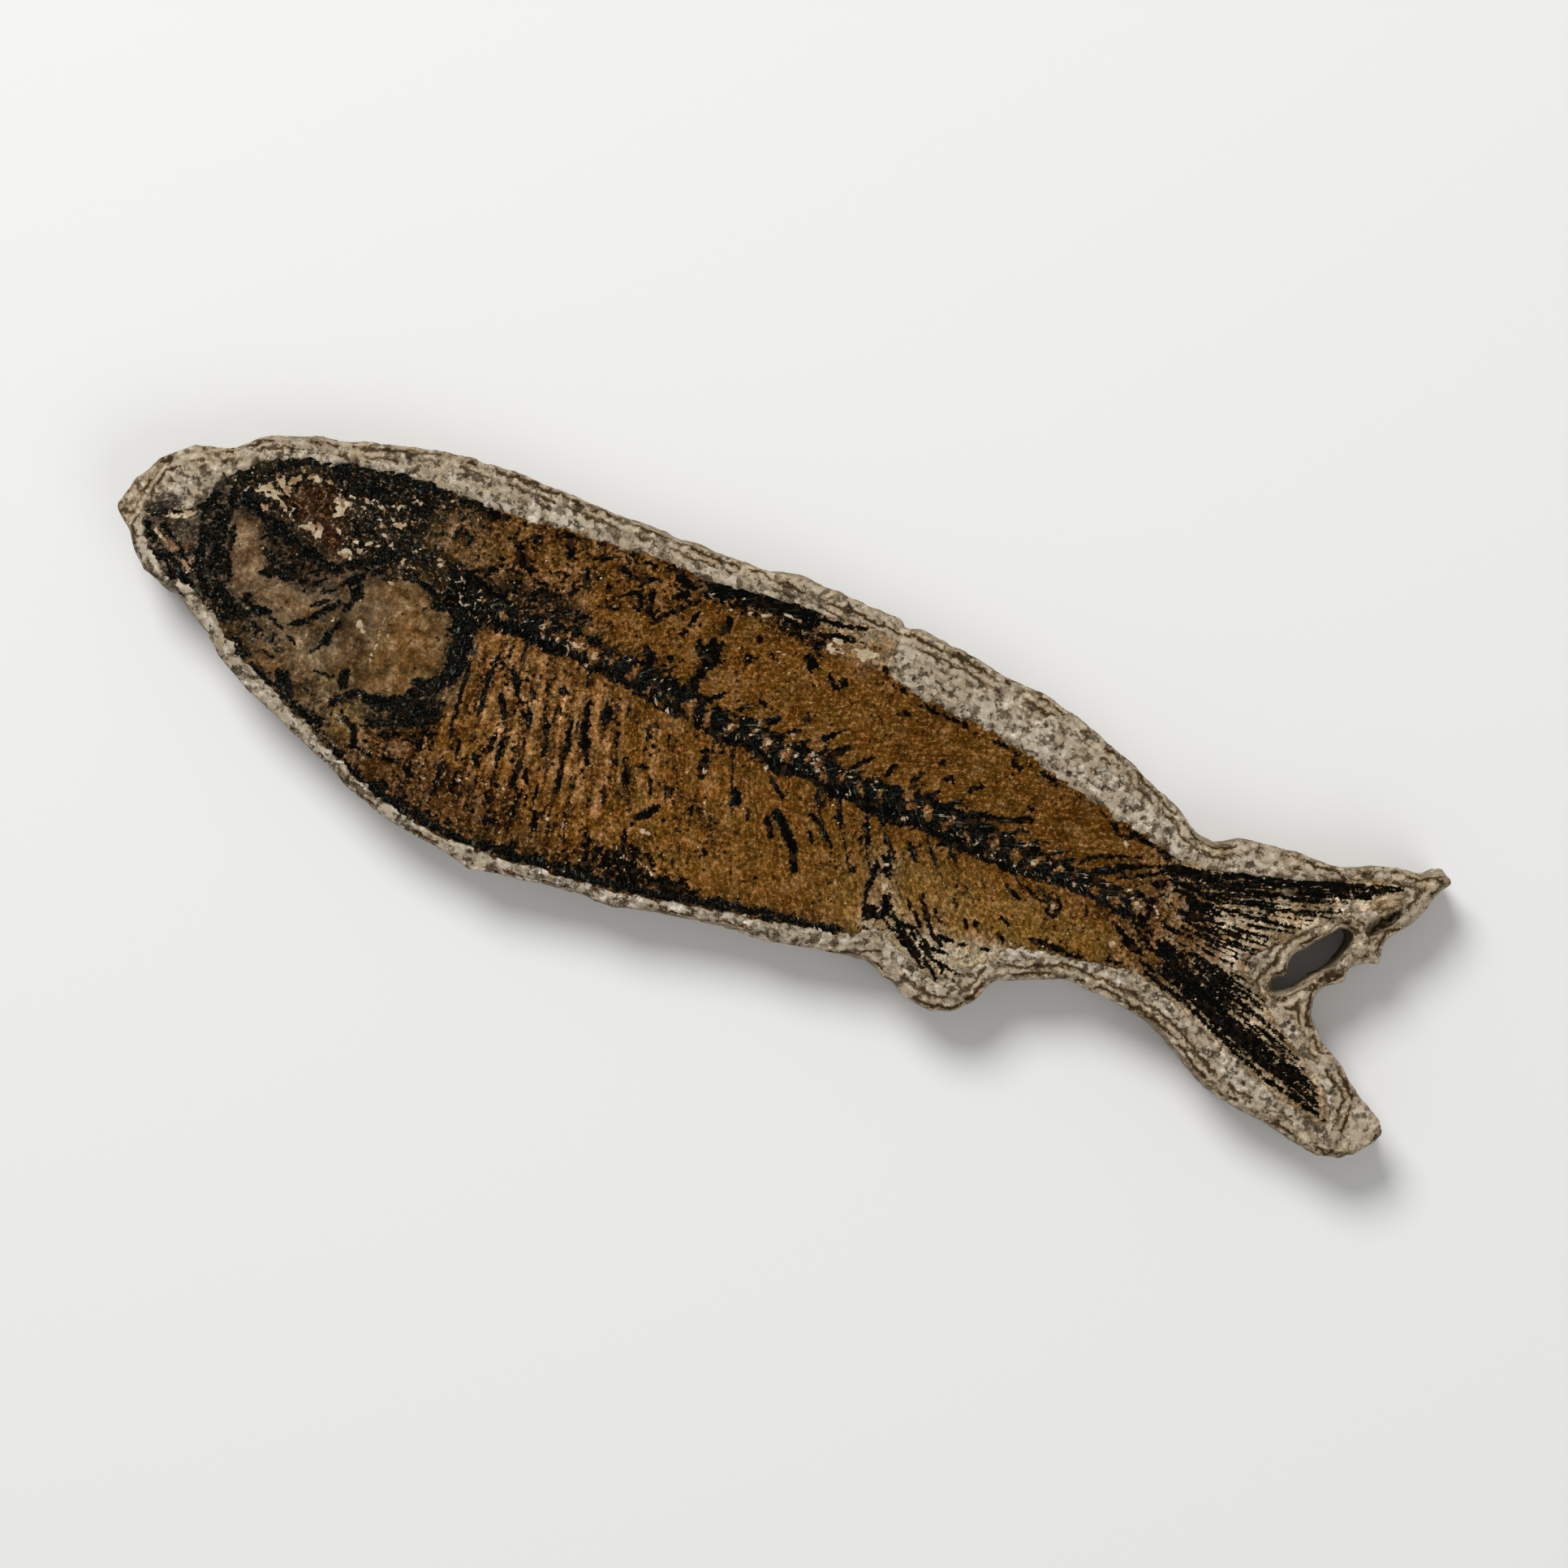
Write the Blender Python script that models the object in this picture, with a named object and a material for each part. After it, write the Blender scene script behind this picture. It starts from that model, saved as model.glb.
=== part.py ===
"""A fossil herring-like fish bedded in a thin piece of pale limestone, lying on its flat underside.

Every shape is written in millimetres and becomes metres where its object is made.
+X runs from the snout to the tail, +Y from the belly to the back, and +Z up out of the stone.
The origin is on the underside, in the middle of the stone's box.
"""

import math

import bmesh
import bpy
from mathutils import Matrix, Vector, noise

MM = 0.001

# Heights above the underside.
STONE_TOP = 7.5
POCKET_FLOOR = 6.9
GAP = 0.3
FILM_BASE = POCKET_FLOOR + GAP
FILM_TOP = 7.8
BONE_BASE = FILM_TOP + GAP
CUTTER_TOP = 12.0

# Thicknesses of the bedded pieces, from the thin fins and skin to the stout shoulder girdle.
THIN, MIDDLING, THICK, STOUT = 0.6, 0.7, 0.8, 0.9
# A block that is longer and wider than the stone.
SLAB_LENGTH, SLAB_WIDTH = 200.0, 80.0

# The stone's broken rim: its chamfer, the heights where it is bent, how far, and how wide a bend is.
STONE_CHAMFER = 0.4
RIM_LEVELS = (2.2, 4.9)
RIM_ROUGHNESS, RIM_PATCH = 0.9, 2.3
# The rim's bends are the same each time.
RIM_SEED = 7

# A rounded outline has this many short edges between two points, and a broken or long one has one.
ROUND_STEPS, STRAIGHT_STEPS = 2, 1
# The axes of rays, ribs and ridges lie this far under the face that they stand out of.
RIDGE_SINK = 0.05
# A ridge's radius at its two ends, as a share of its middle radius.
RIDGE_END = 0.6
# Sides of a thin rod and of the column.
ROD_SIDES, COLUMN_SIDES = 4, 6
# Points nearer than this are one point, and faces that meet at less than the flat angle are one face.
WELD = 0.0015
FLAT_ANGLE = math.radians(0.5)
# Edges sharper than this stay crisp, on bones and on broken stone.
ROUND_ANGLE, BROKEN_ANGLE = math.radians(35.0), math.radians(12.0)

# The column of vertebrae. Its radii are those of the widest vertebrae, at the head.
VERTEBRA_PITCH = 2.07
COLUMN_START, COLUMN_COUNT = -32.2, 33
RIM_RADIUS, DISC_RADIUS = 1.1, 0.6
# Where a vertebra's two rims lie along its length, as shares.
FRONT_RIM, REAR_RIM = 0.22, 0.78
TAIL_TAPER = 0.3
COLUMN_FLATNESS = 0.72
COLUMN_PATH = [
    (-33.0, 4.8), (-24.0, 4.5), (-16.0, 4.1), (-8.0, 3.2), (0.0, 2.6),
    (8.0, 2.4), (16.0, 2.5), (24.0, 2.2), (32.0, 1.9), (39.0, 1.7),
]

# Vertebrae, counted from the head: the last one with a rib, and the last one with spines.
LAST_RIB, LAST_SPINE = 20, 31
# Lengths, and degrees that they lean to the tail, at the first and the last of each row.
RIB_LENGTHS, RIB_LEANS = (13.5, 9.5), (3.0, 34.0)
HAEMAL_LENGTHS, HAEMAL_LEANS = (7.5, 4.2), (38.0, 62.0)
NEURAL_LENGTHS, NEURAL_LEANS = (3.6, 4.6), (40.0, 62.0)
# Radii at the root and the tip. Ribs are the stoutest, and all bow forwards by a share of their length.
RIB_RADII, HAEMAL_RADII, NEURAL_RADII = (0.34, 0.2), (0.34, 0.18), (0.32, 0.18)
SPINE_BOW = 0.04

# The eye, a low dome whose middle lies a little above its flat underside.
EYE_CENTRE = (-48.0, 7.1)
EYE_HALF_WIDTH, EYE_HALF_HEIGHT, EYE_RISE, EYE_LIFT = 2.5, 2.0, 1.0, 0.1
EYE_SEGMENTS, EYE_RINGS, EYE_ROOM_POINTS = 16, 8, 14

# The scutes: a strip this wide inside the belly's edge, with a low keel across each scute.
SCUTE_COUNT = 26
STRIP_WIDTH, STRIP_SHIFT = 1.35, 0.2
FIRST_SCUTE, SPARE_SCUTES = 0.7, 0.4
KEEL_FRONT, KEEL_REAR = (-0.7, 0.78, 0.3), (0.5, 0.86, 0.12)

# Surface colours, as shares of red, green and blue light.
LIMESTONE = (0.50, 0.44, 0.35)
SKIN_BROWN = (0.12, 0.060, 0.020)
BONE_BLACK = (0.012, 0.010, 0.008)
SKULL_BLACK = (0.013, 0.012, 0.011)
JAW_BLACK, JAW_BROWN = (0.022, 0.021, 0.020), (0.030, 0.024, 0.018)
CHEEK_BROWN, GILL_BROWN, THROAT_BROWN = (0.12, 0.075, 0.038), (0.14, 0.09, 0.045), (0.05, 0.036, 0.022)
EYE_RUST = (0.055, 0.022, 0.009)
PECTORAL_BROWN, DORSAL_BROWN, ANAL_BROWN = (0.09, 0.045, 0.015), (0.02, 0.014, 0.009), (0.03, 0.02, 0.012)
TAIL_BLACK = (0.016, 0.013, 0.010)
SCUTE_BLACK = (0.018, 0.012, 0.008)
# How rough each kind of surface is.
STONE_ROUGHNESS, SKIN_ROUGHNESS, CHEEK_ROUGHNESS, BROWN_ROUGHNESS = 0.9, 0.65, 0.6, 0.55
FIN_ROUGHNESS, BONE_ROUGHNESS = 0.5, 0.45

# The edge of the stone, from the snout over the back to the tail and along the belly.
STONE_OUTLINE = [
    (-65.0, 0.2), (-64.4, 3.2), (-62.9, 5.9), (-60.3, 8.0), (-57.4, 9.0), (-55.2, 11.0), (-51.8, 12.3),
    (-47.5, 13.8), (-43.5, 14.8), (-39.5, 16.2), (-36.0, 17.0), (-31.5, 17.0), (-27.0, 17.3), (-22.0, 17.0),
    (-16.0, 17.2), (-10.0, 17.6), (-4.5, 18.0), (1.0, 18.1), (5.0, 17.7), (6.2, 17.4), (8.0, 17.8),
    (12.0, 17.6), (16.5, 17.3), (20.5, 16.9), (24.3, 16.1), (27.6, 14.8), (31.0, 13.7), (34.2, 12.6),
    (37.0, 11.3), (39.0, 10.3), (40.5, 10.2), (42.6, 11.2), (45.5, 11.8), (49.0, 12.0), (52.5, 12.7),
    (55.5, 13.8), (58.0, 14.8), (60.0, 14.9), (61.0, 15.6), (62.0, 15.2), (61.3, 14.0), (61.3, 12.2),
    (60.0, 10.3), (58.6, 8.0), (58.5, 6.0), (57.2, 5.2), (56.3, 4.6), (56.1, 3.2), (54.9, 1.8),
    (54.2, 0.5), (54.8, -1.0), (56.5, -2.9), (58.5, -4.1), (60.5, -5.3), (62.3, -6.6), (64.1, -7.4),
    (65.0, -8.7), (64.4, -10.0), (63.2, -11.4), (61.8, -12.4), (60.2, -12.7), (57.0, -12.2), (53.0, -11.6),
    (49.0, -11.0), (46.3, -10.0), (44.0, -8.7), (41.5, -7.3), (38.5, -6.8), (35.0, -6.6), (31.8, -7.0),
    (29.3, -8.0), (27.2, -9.1), (26.4, -10.2), (25.8, -11.6), (24.6, -12.9), (22.2, -14.0), (19.3, -13.8),
    (17.0, -12.7), (14.8, -12.2), (11.0, -12.8), (6.0, -13.5), (1.0, -14.2), (-4.0, -15.3), (-8.5, -16.2),
    (-13.0, -16.8), (-18.5, -17.4), (-22.0, -18.1), (-26.0, -17.7), (-31.0, -17.1), (-35.0, -15.9),
    (-39.0, -14.0), (-43.0, -12.5), (-47.5, -10.8), (-51.0, -9.0), (-53.6, -7.2), (-55.8, -5.6),
    (-58.0, -4.9), (-60.4, -4.4), (-61.9, -3.1), (-63.4, -1.3),
]

# The slot broken through the stone between the tail's lobes.
SLOT_OUTLINE = [
    (51.1, 2.2), (51.0, 3.4), (51.9, 4.3), (52.9, 5.2), (53.5, 6.5), (54.4, 7.4), (55.5, 7.5), (55.5, 6.1),
    (54.9, 4.2), (53.8, 2.5), (52.9, 1.3), (52.1, 0.0), (51.3, -0.8), (50.3, -0.4), (49.8, 0.4), (50.4, 1.1),
    (51.3, 1.3),
]

# The edge of the fish, with its fins and tail.
FISH_OUTLINE = [
    (-62.4, 0.3), (-60.8, 1.7), (-58.8, 2.2), (-57.7, 3.6), (-57.0, 5.6), (-55.9, 7.3), (-54.2, 9.0),
    (-52.0, 10.3), (-49.4, 11.3), (-46.0, 12.0), (-42.4, 12.7), (-38.6, 13.2), (-34.6, 13.2), (-30.0, 13.5),
    (-26.0, 14.0), (-22.0, 14.4), (-18.0, 14.8), (-14.5, 14.8), (-12.0, 14.7), (-8.0, 15.3), (-4.0, 15.7),
    (0.0, 16.0), (3.0, 16.5), (5.6, 16.5), (6.6, 15.6), (6.1, 14.2), (6.8, 13.0), (9.0, 12.5),
    (12.5, 12.0), (16.5, 11.8), (20.0, 11.3), (23.5, 10.5), (27.0, 9.8), (30.5, 9.1), (33.5, 8.6),
    (36.0, 8.0), (38.5, 7.5), (41.0, 7.9), (44.0, 8.6), (47.0, 9.4), (50.0, 10.4), (53.0, 11.6),
    (56.0, 12.9), (58.2, 13.3), (58.9, 12.3), (57.4, 10.6), (55.0, 9.2), (53.0, 7.8), (51.5, 6.0),
    (50.2, 4.4), (48.6, 3.0), (47.4, 2.0), (47.2, 1.0), (48.4, 0.0), (50.0, -1.4), (51.6, -2.6),
    (53.4, -3.8), (55.2, -4.9), (57.2, -6.2), (59.2, -7.8), (60.4, -9.4), (59.6, -10.3), (57.2, -9.8),
    (54.4, -9.2), (51.5, -8.2), (49.0, -7.2), (46.2, -6.2), (43.4, -5.2), (40.6, -4.2), (38.4, -3.5),
    (36.0, -3.9), (33.5, -4.5), (30.5, -4.9), (27.5, -5.5), (26.0, -6.3), (25.9, -7.6), (24.2, -8.7),
    (23.9, -10.2), (22.2, -11.7), (19.7, -11.1), (17.4, -10.1), (15.5, -9.3), (13.8, -9.4), (12.9, -10.3),
    (11.5, -10.9), (8.0, -11.6), (4.0, -12.4), (0.0, -13.1), (-4.0, -14.2), (-8.0, -14.9), (-12.5, -15.5),
    (-17.0, -16.0), (-21.0, -16.4), (-25.0, -16.5), (-28.5, -16.2), (-32.0, -15.5), (-35.0, -14.5),
    (-38.0, -13.1), (-41.0, -11.7), (-44.0, -10.5), (-46.8, -9.4), (-49.2, -8.3), (-51.2, -6.9),
    (-53.2, -5.4), (-55.4, -4.3), (-57.8, -3.9), (-59.8, -3.2), (-61.4, -1.8),
]

# The outlines of the bedded pieces.
SKULL = [
    (-58.5, 4.5), (-57.5, 8.5), (-54.5, 11.0), (-50.0, 13.0), (-44.0, 14.0), (-38.0, 14.5), (-34.4, 14.2),
    (-33.2, 12.2), (-33.4, 9.4), (-32.8, 6.6), (-33.2, 4.4), (-36.0, 4.9), (-38.6, 4.0), (-41.0, 3.4),
    (-44.0, 3.6), (-47.0, 3.2), (-50.0, 4.1), (-53.0, 4.3),
]
UPPER_JAW = [
    (-64.0, 0.4), (-60.5, 3.0), (-58.6, 3.2), (-57.9, 5.0), (-56.6, 5.4), (-55.4, 3.4), (-54.5, 1.0),
    (-53.9, -1.2), (-52.9, -2.9), (-51.2, -3.9), (-52.0, -5.1), (-54.2, -4.4), (-55.8, -2.4), (-56.6, -0.6),
    (-57.7, 0.2), (-59.4, 0.3), (-61.2, -0.2),
]
LOWER_JAW = [
    (-63.5, -1.0), (-61.4, -0.5), (-59.4, -0.1), (-57.6, -0.4), (-56.2, -1.6), (-54.6, -3.9), (-53.8, -5.0),
    (-55.4, -6.2), (-59.0, -5.6), (-62.0, -4.0),
]
CHEEK = [
    (-55.6, 4.2), (-52.5, 4.3), (-49.8, 3.8), (-46.8, 3.0), (-43.8, 3.3), (-41.4, 3.4), (-40.6, 2.6),
    (-41.6, 0.8), (-42.4, -0.8), (-43.4, -2.6), (-45.5, -3.6), (-48.0, -3.9), (-50.8, -3.4), (-52.4, -2.4),
    (-53.6, -1.0), (-54.5, 1.5),
]
GILL_COVER = [
    (-41.2, 1.6), (-39.2, 2.8), (-37.0, 4.1), (-35.2, 3.7), (-33.4, 3.0), (-32.2, 0.6), (-31.8, -1.5),
    (-31.9, -3.3), (-33.2, -5.0), (-34.8, -6.6), (-37.0, -7.6), (-39.4, -7.4), (-41.2, -6.0), (-42.2, -4.2),
    (-42.6, -2.2), (-42.0, -0.2),
]
THROAT = [
    (-54.6, -6.4), (-53.0, -4.4), (-50.0, -3.6), (-46.0, -3.0), (-42.0, -2.0), (-40.0, -6.0), (-37.6, -8.0),
    (-37.2, -10.8), (-38.4, -14.0), (-42.0, -13.0), (-46.0, -11.4), (-50.0, -9.6),
]
SHOULDER = [
    (-33.2, 3.0), (-31.4, 3.5), (-29.6, 2.6), (-28.9, 0.0), (-29.0, -2.5), (-29.6, -5.0), (-31.0, -7.4),
    (-33.4, -9.0), (-36.4, -9.7), (-39.2, -9.6), (-41.2, -8.6), (-40.6, -7.6), (-37.4, -7.5), (-34.6, -6.4),
    (-32.9, -4.8), (-31.8, -3.2), (-31.6, -1.4), (-32.3, 0.8),
]
PECTORAL_FIN = [
    (-37.4, -9.6), (-34.0, -9.6), (-30.0, -10.0), (-26.0, -10.5), (-23.0, -11.3), (-20.8, -12.6),
    (-21.6, -13.6), (-25.0, -13.9), (-29.0, -13.5), (-33.0, -12.6), (-36.2, -11.8),
]
DORSAL_FIN = [
    (-13.2, 14.2), (-11.5, 15.8), (-6.0, 16.8), (0.0, 17.4), (6.0, 17.4), (7.6, 15.4), (6.4, 13.4),
    (4.2, 13.1), (1.0, 13.3), (-3.0, 13.5), (-7.0, 13.9), (-10.5, 14.1),
]
ANAL_FIN = [
    (12.4, -2.7), (13.2, -2.1), (13.9, -2.8), (14.1, -4.2), (14.9, -5.7), (16.0, -6.9), (18.0, -7.3),
    (20.6, -7.2), (23.6, -6.7), (26.6, -5.6), (27.6, -7.6), (25.6, -10.6), (22.6, -12.8), (18.0, -11.6),
    (15.0, -10.2), (13.2, -8.6), (12.6, -7.2), (12.9, -5.6), (12.2, -4.2),
]
TAIL_UPPER = [
    (38.4, 9.2), (44.0, 10.2), (50.0, 12.0), (56.0, 14.8), (60.8, 13.6), (58.6, 9.6), (54.0, 6.4),
    (51.5, 3.6), (48.6, 1.6), (44.6, 1.5), (40.8, 1.6), (38.2, 3.2), (37.4, 5.4), (37.4, 7.6),
]
TAIL_LOWER = [
    (40.6, 1.2), (44.6, 1.1), (48.4, 1.0), (51.0, 0.6), (55.0, -2.4), (60.0, -5.8), (62.4, -9.6),
    (60.0, -12.0), (54.0, -10.6), (46.0, -7.8), (40.0, -5.6), (37.2, -5.0), (37.4, -2.6), (38.6, -0.4),
]
BELLY_EDGE = [
    (-38.4, -13.6), (-35.2, -14.9), (-32.1, -15.9), (-28.6, -16.6), (-25.0, -16.9), (-21.0, -16.8),
    (-17.0, -16.4), (-12.5, -15.9), (-8.0, -15.3), (-4.0, -14.6), (0.0, -13.5), (4.0, -12.8),
    (8.0, -12.0), (11.6, -11.3),
]
SKIN = [
    (-36.6, 14.5), (-30.0, 15.0), (-20.0, 16.0), (-13.6, 16.0), (-12.0, 13.6), (-5.0, 13.2), (2.0, 12.8),
    (6.0, 12.6), (8.5, 14.5), (14.0, 13.6), (22.0, 12.8), (30.0, 11.0), (36.0, 9.6), (38.2, 9.0),
    (38.4, 6.0), (39.6, 3.0), (40.6, 1.0), (39.8, -1.4), (38.4, -3.0), (38.0, -5.2), (32.0, -6.4),
    (26.6, -7.2), (24.0, -6.2), (20.5, -6.8), (17.0, -7.0), (14.6, -7.6), (13.0, -9.0), (13.6, -11.6),
    (8.0, -13.6), (0.0, -15.0), (-10.0, -17.0), (-20.0, -18.2), (-29.0, -18.0), (-36.0, -16.2),
    (-39.4, -14.4), (-39.6, -11.0), (-38.0, -8.6), (-34.0, -6.0), (-32.0, -2.0), (-32.4, 2.0),
    (-34.4, 6.0), (-34.8, 10.0),
]

# Ridges of the bones: a path and the radius in its middle.
SKULL_RIDGES = [
    ([(-55.0, 7.3), (-51.4, 9.9), (-46.6, 11.1), (-40.6, 11.9), (-35.2, 11.9)], 0.42),
    ([(-52.2, 5.9), (-51.8, 8.4), (-49.6, 10.0), (-46.8, 10.0), (-44.6, 8.7), (-44.0, 6.6)], 0.36),
    ([(-55.0, 5.4), (-51.4, 5.2), (-48.2, 4.2), (-45.2, 4.4), (-42.4, 4.9), (-39.6, 5.6)], 0.34),
    ([(-42.6, 9.8), (-38.8, 9.4), (-34.9, 9.0)], 0.36),
    ([(-42.4, 7.4), (-38.4, 7.2), (-34.4, 6.4)], 0.36),
]
UPPER_JAW_RIDGES = [
    ([(-61.6, 0.6), (-59.2, 1.2), (-57.4, 2.0)], 0.3),
    ([(-56.7, 4.2), (-56.0, 1.6), (-55.2, -1.0), (-54.1, -3.0), (-53.1, -3.9)], 0.42),
]
LOWER_JAW_RIDGES = [
    ([(-60.8, -1.3), (-58.4, -1.5), (-56.6, -2.6), (-55.3, -3.7)], 0.3),
    ([(-60.0, -2.5), (-58.0, -3.2), (-56.2, -3.7)], 0.28),
]
CHEEK_RIDGES = [
    ([(-53.0, 3.0), (-52.8, 0.4), (-51.6, -1.7), (-49.2, -2.9), (-46.6, -3.0), (-44.4, -2.0)], 0.36),
    ([(-49.8, 0.8), (-47.0, 0.2), (-44.4, 1.0), (-42.0, 2.3)], 0.34),
]
GILL_RIDGES = [
    ([(-40.6, 0.6), (-40.6, -2.4), (-39.4, -5.4)], 0.26),
    ([(-37.8, 2.2), (-37.4, -1.4), (-37.0, -5.6)], 0.26),
    ([(-35.0, 2.2), (-34.2, -0.8), (-34.6, -4.2)], 0.26),
]
SHOULDER_RIDGES = [
    ([(-31.2, 2.2), (-30.2, -0.4), (-30.4, -3.0), (-31.6, -5.6), (-34.0, -7.7), (-37.6, -8.6)], 0.5),
]
THROAT_RIDGES = [
    ([(-50.2, -5.0), (-47.8, -5.2), (-44.6, -4.6), (-42.8, -3.6)], 0.34),
    ([(-50.2, -6.4), (-46.8, -7.0), (-43.4, -6.6), (-41.4, -6.6)], 0.26),
    ([(-48.0, -8.0), (-44.8, -8.5), (-41.8, -9.0)], 0.26),
    ([(-45.4, -9.5), (-42.6, -10.2), (-39.4, -10.6)], 0.26),
]

# Fin rays: a line of roots, a line of tips, the count of rays, and a ray's radius at its root and its tip.
PECTORAL_RAYS = (
    [(-35.8, -10.9), (-35.2, -11.6)], [(-22.8, -11.7), (-22.4, -12.8), (-26.0, -13.4)], 6, 0.26, 0.14,
)
DORSAL_RAYS = ([(-11.4, 14.3), (1.6, 13.9)], [(-3.0, 15.5), (5.6, 16.0)], 9, 0.24, 0.14)
ANAL_RAYS = ([(14.3, -7.3), (23.8, -7.2)], [(18.6, -10.5), (22.2, -11.2), (24.8, -8.0)], 9, 0.26, 0.14)
UPPER_TAIL_RAYS = ([(39.2, 6.8), (39.4, 2.8)], [(57.8, 12.6), (53.6, 8.6), (47.6, 2.6)], 10, 0.24, 0.16)
LOWER_TAIL_RAYS = ([(39.6, -3.6), (41.4, 0.4)], [(59.6, -9.6), (53.8, -4.4), (47.2, 0.6)], 10, 0.24, 0.16)
# The bones that carry the anal fin, as one more ridge.
ANAL_SUPPORT = ([(13.1, -2.8), (13.4, -5.2), (13.7, -7.8)], 0.4)


def clear_scene():
    for thing in list(bpy.data.objects):
        bpy.data.objects.remove(thing)


def new_collection(name):
    made = bpy.data.collections.new(name)
    bpy.context.scene.collection.children.link(made)
    return made


def move_to(collection, thing):
    for holder in list(thing.users_collection):
        holder.objects.unlink(thing)
    collection.objects.link(thing)


def new_material(name, colour, roughness):
    material = bpy.data.materials.new(name)
    material.use_nodes = True
    shader = material.node_tree.nodes["Principled BSDF"]
    shader.inputs["Base Color"].default_value = (*colour, 1.0)
    shader.inputs["Roughness"].default_value = roughness
    return material


def to_mesh(curve_object):
    """The curve's shape as a welded mesh object in the same place. The curve is removed."""
    bpy.context.view_layer.update()
    graph = bpy.context.evaluated_depsgraph_get()
    mesh = bpy.data.meshes.new_from_object(curve_object.evaluated_get(graph))
    name, matrix = curve_object.name, curve_object.matrix_world.copy()
    bpy.data.objects.remove(curve_object)
    shape = bmesh.new()
    shape.from_mesh(mesh)
    bmesh.ops.transform(shape, matrix=matrix, verts=shape.verts)
    bmesh.ops.remove_doubles(shape, verts=shape.verts, dist=WELD * MM)
    bmesh.ops.recalc_face_normals(shape, faces=shape.faces)
    shape.to_mesh(mesh)
    shape.free()
    return new_object(name, mesh)


def new_object(name, mesh):
    made = bpy.data.objects.new(name, mesh)
    bpy.context.scene.collection.objects.link(made)
    return made


def flat_plate(name, loops, low, high, chamfer=0.0, grow=0.0, steps=ROUND_STEPS):
    """A plate between two heights. Its edge runs through each loop's points, moved outwards by grow."""
    curve = bpy.data.curves.new(name, "CURVE")
    curve.dimensions = "2D"
    curve.fill_mode = "BOTH"
    curve.resolution_u = steps
    curve.extrude = ((high - low) / 2 - chamfer) * MM
    curve.bevel_depth = chamfer * MM
    curve.bevel_resolution = 0
    curve.offset = (grow - chamfer) * MM
    for loop in loops:
        spline = curve.splines.new("BEZIER")
        spline.bezier_points.add(len(loop) - 1)
        spline.use_cyclic_u = True
        for point, (x, y) in zip(spline.bezier_points, loop):
            point.co = (x * MM, y * MM, 0.0)
            point.handle_left_type = "AUTO"
            point.handle_right_type = "AUTO"
    plate = new_object(name, curve)
    plate.location.z = (low + high) / 2 * MM
    return to_mesh(plate)


def rods(name, lines, height, sides=ROD_SIDES, flatness=1.0):
    """Tapered rods along lines of (x, y, radius) points, with their axes at one height."""
    curve = bpy.data.curves.new(name, "CURVE")
    curve.dimensions = "3D"
    curve.bevel_depth = MM
    curve.bevel_resolution = (sides - ROD_SIDES) // 2
    curve.use_fill_caps = True
    for line in lines:
        spline = curve.splines.new("POLY")
        spline.points.add(len(line) - 1)
        for point, (x, y, radius) in zip(spline.points, line):
            point.co = (x * MM, y * MM, 0.0, 1.0)
            point.radius = radius
    made = new_object(name, curve)
    made.location.z = height * MM
    made.scale.z = flatness
    return to_mesh(made)


def slab(name, low, high):
    """A block longer and wider than the stone, between two heights."""
    mesh = bpy.data.meshes.new(name)
    shape = bmesh.new()
    bmesh.ops.create_cube(shape, size=1.0)
    size = (SLAB_LENGTH * MM, SLAB_WIDTH * MM, (high - low) * MM)
    bmesh.ops.scale(shape, vec=size, verts=shape.verts)
    bmesh.ops.translate(shape, vec=(0, 0, (low + high) / 2 * MM), verts=shape.verts)
    shape.to_mesh(mesh)
    shape.free()
    return new_object(name, mesh)


def as_cutter(thing):
    thing.hide_render = True
    thing.display_type = "WIRE"
    move_to(cutters, thing)
    return thing


def combine(target, operation, other, overlapping=False):
    """Joins target with other, cuts it by other, or keeps what they share, in target's own mesh."""
    modifier = target.modifiers.new(other.name, "BOOLEAN")
    modifier.operation = operation
    modifier.solver = "EXACT"
    modifier.use_self = overlapping
    modifier.object = other
    bpy.context.view_layer.update()
    graph = bpy.context.evaluated_depsgraph_get()
    mesh = bpy.data.meshes.new_from_object(target.evaluated_get(graph))
    target.modifiers.clear()
    target.data = mesh
    as_cutter(other)


def finish_piece(piece, colour, roughness, sharp_from=ROUND_ANGLE):
    """Welds and triangulates what the Booleans left, and gives the piece its own material."""
    shape = bmesh.new()
    shape.from_mesh(piece.data)
    bmesh.ops.remove_doubles(shape, verts=shape.verts, dist=WELD * MM)
    bmesh.ops.dissolve_limit(shape, angle_limit=FLAT_ANGLE, verts=shape.verts, edges=shape.edges)
    bmesh.ops.triangulate(shape, faces=shape.faces)
    shape.to_mesh(piece.data)
    shape.free()
    piece.data.name = piece.name
    piece.data.materials.clear()
    piece.data.materials.append(new_material(piece.name + "_surface", colour, roughness))
    piece.data.shade_smooth()
    piece.data.set_sharp_from_angle(angle=sharp_from)
    move_to(fish, piece)


def room_for(name, outline):
    """A cutter that leaves the bedding gap all round a piece of this outline."""
    return as_cutter(flat_plate(name + "_room", [outline], POCKET_FLOOR, CUTTER_TOP, grow=GAP))


def bedded(name, thickness, ridges, neighbours, colour, roughness, at_edge=True):
    """A piece bedded in the stone: a plate with half-sunk ridges, clear of its neighbours and the rim."""
    top = FILM_BASE + thickness
    piece = flat_plate(name, [OUTLINES[name]], FILM_BASE, top)
    if at_edge:
        combine(piece, "INTERSECT", inlay)
    for neighbour in neighbours:
        combine(piece, "DIFFERENCE", rooms[neighbour])
    if ridges:
        combine(piece, "UNION", rods(name + "_ridges", ridges, top - RIDGE_SINK), overlapping=True)
    finish_piece(piece, colour, roughness)


def between(start, end, share):
    return tuple(a + (b - a) * share for a, b in zip(start, end))


def at_x(path, x):
    """The path's y at x, straight between its points."""
    for (x0, y0), (x1, y1) in zip(path, path[1:]):
        if x <= x1:
            return y0 + (y1 - y0) * (x - x0) / (x1 - x0)
    return path[-1][1]


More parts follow.
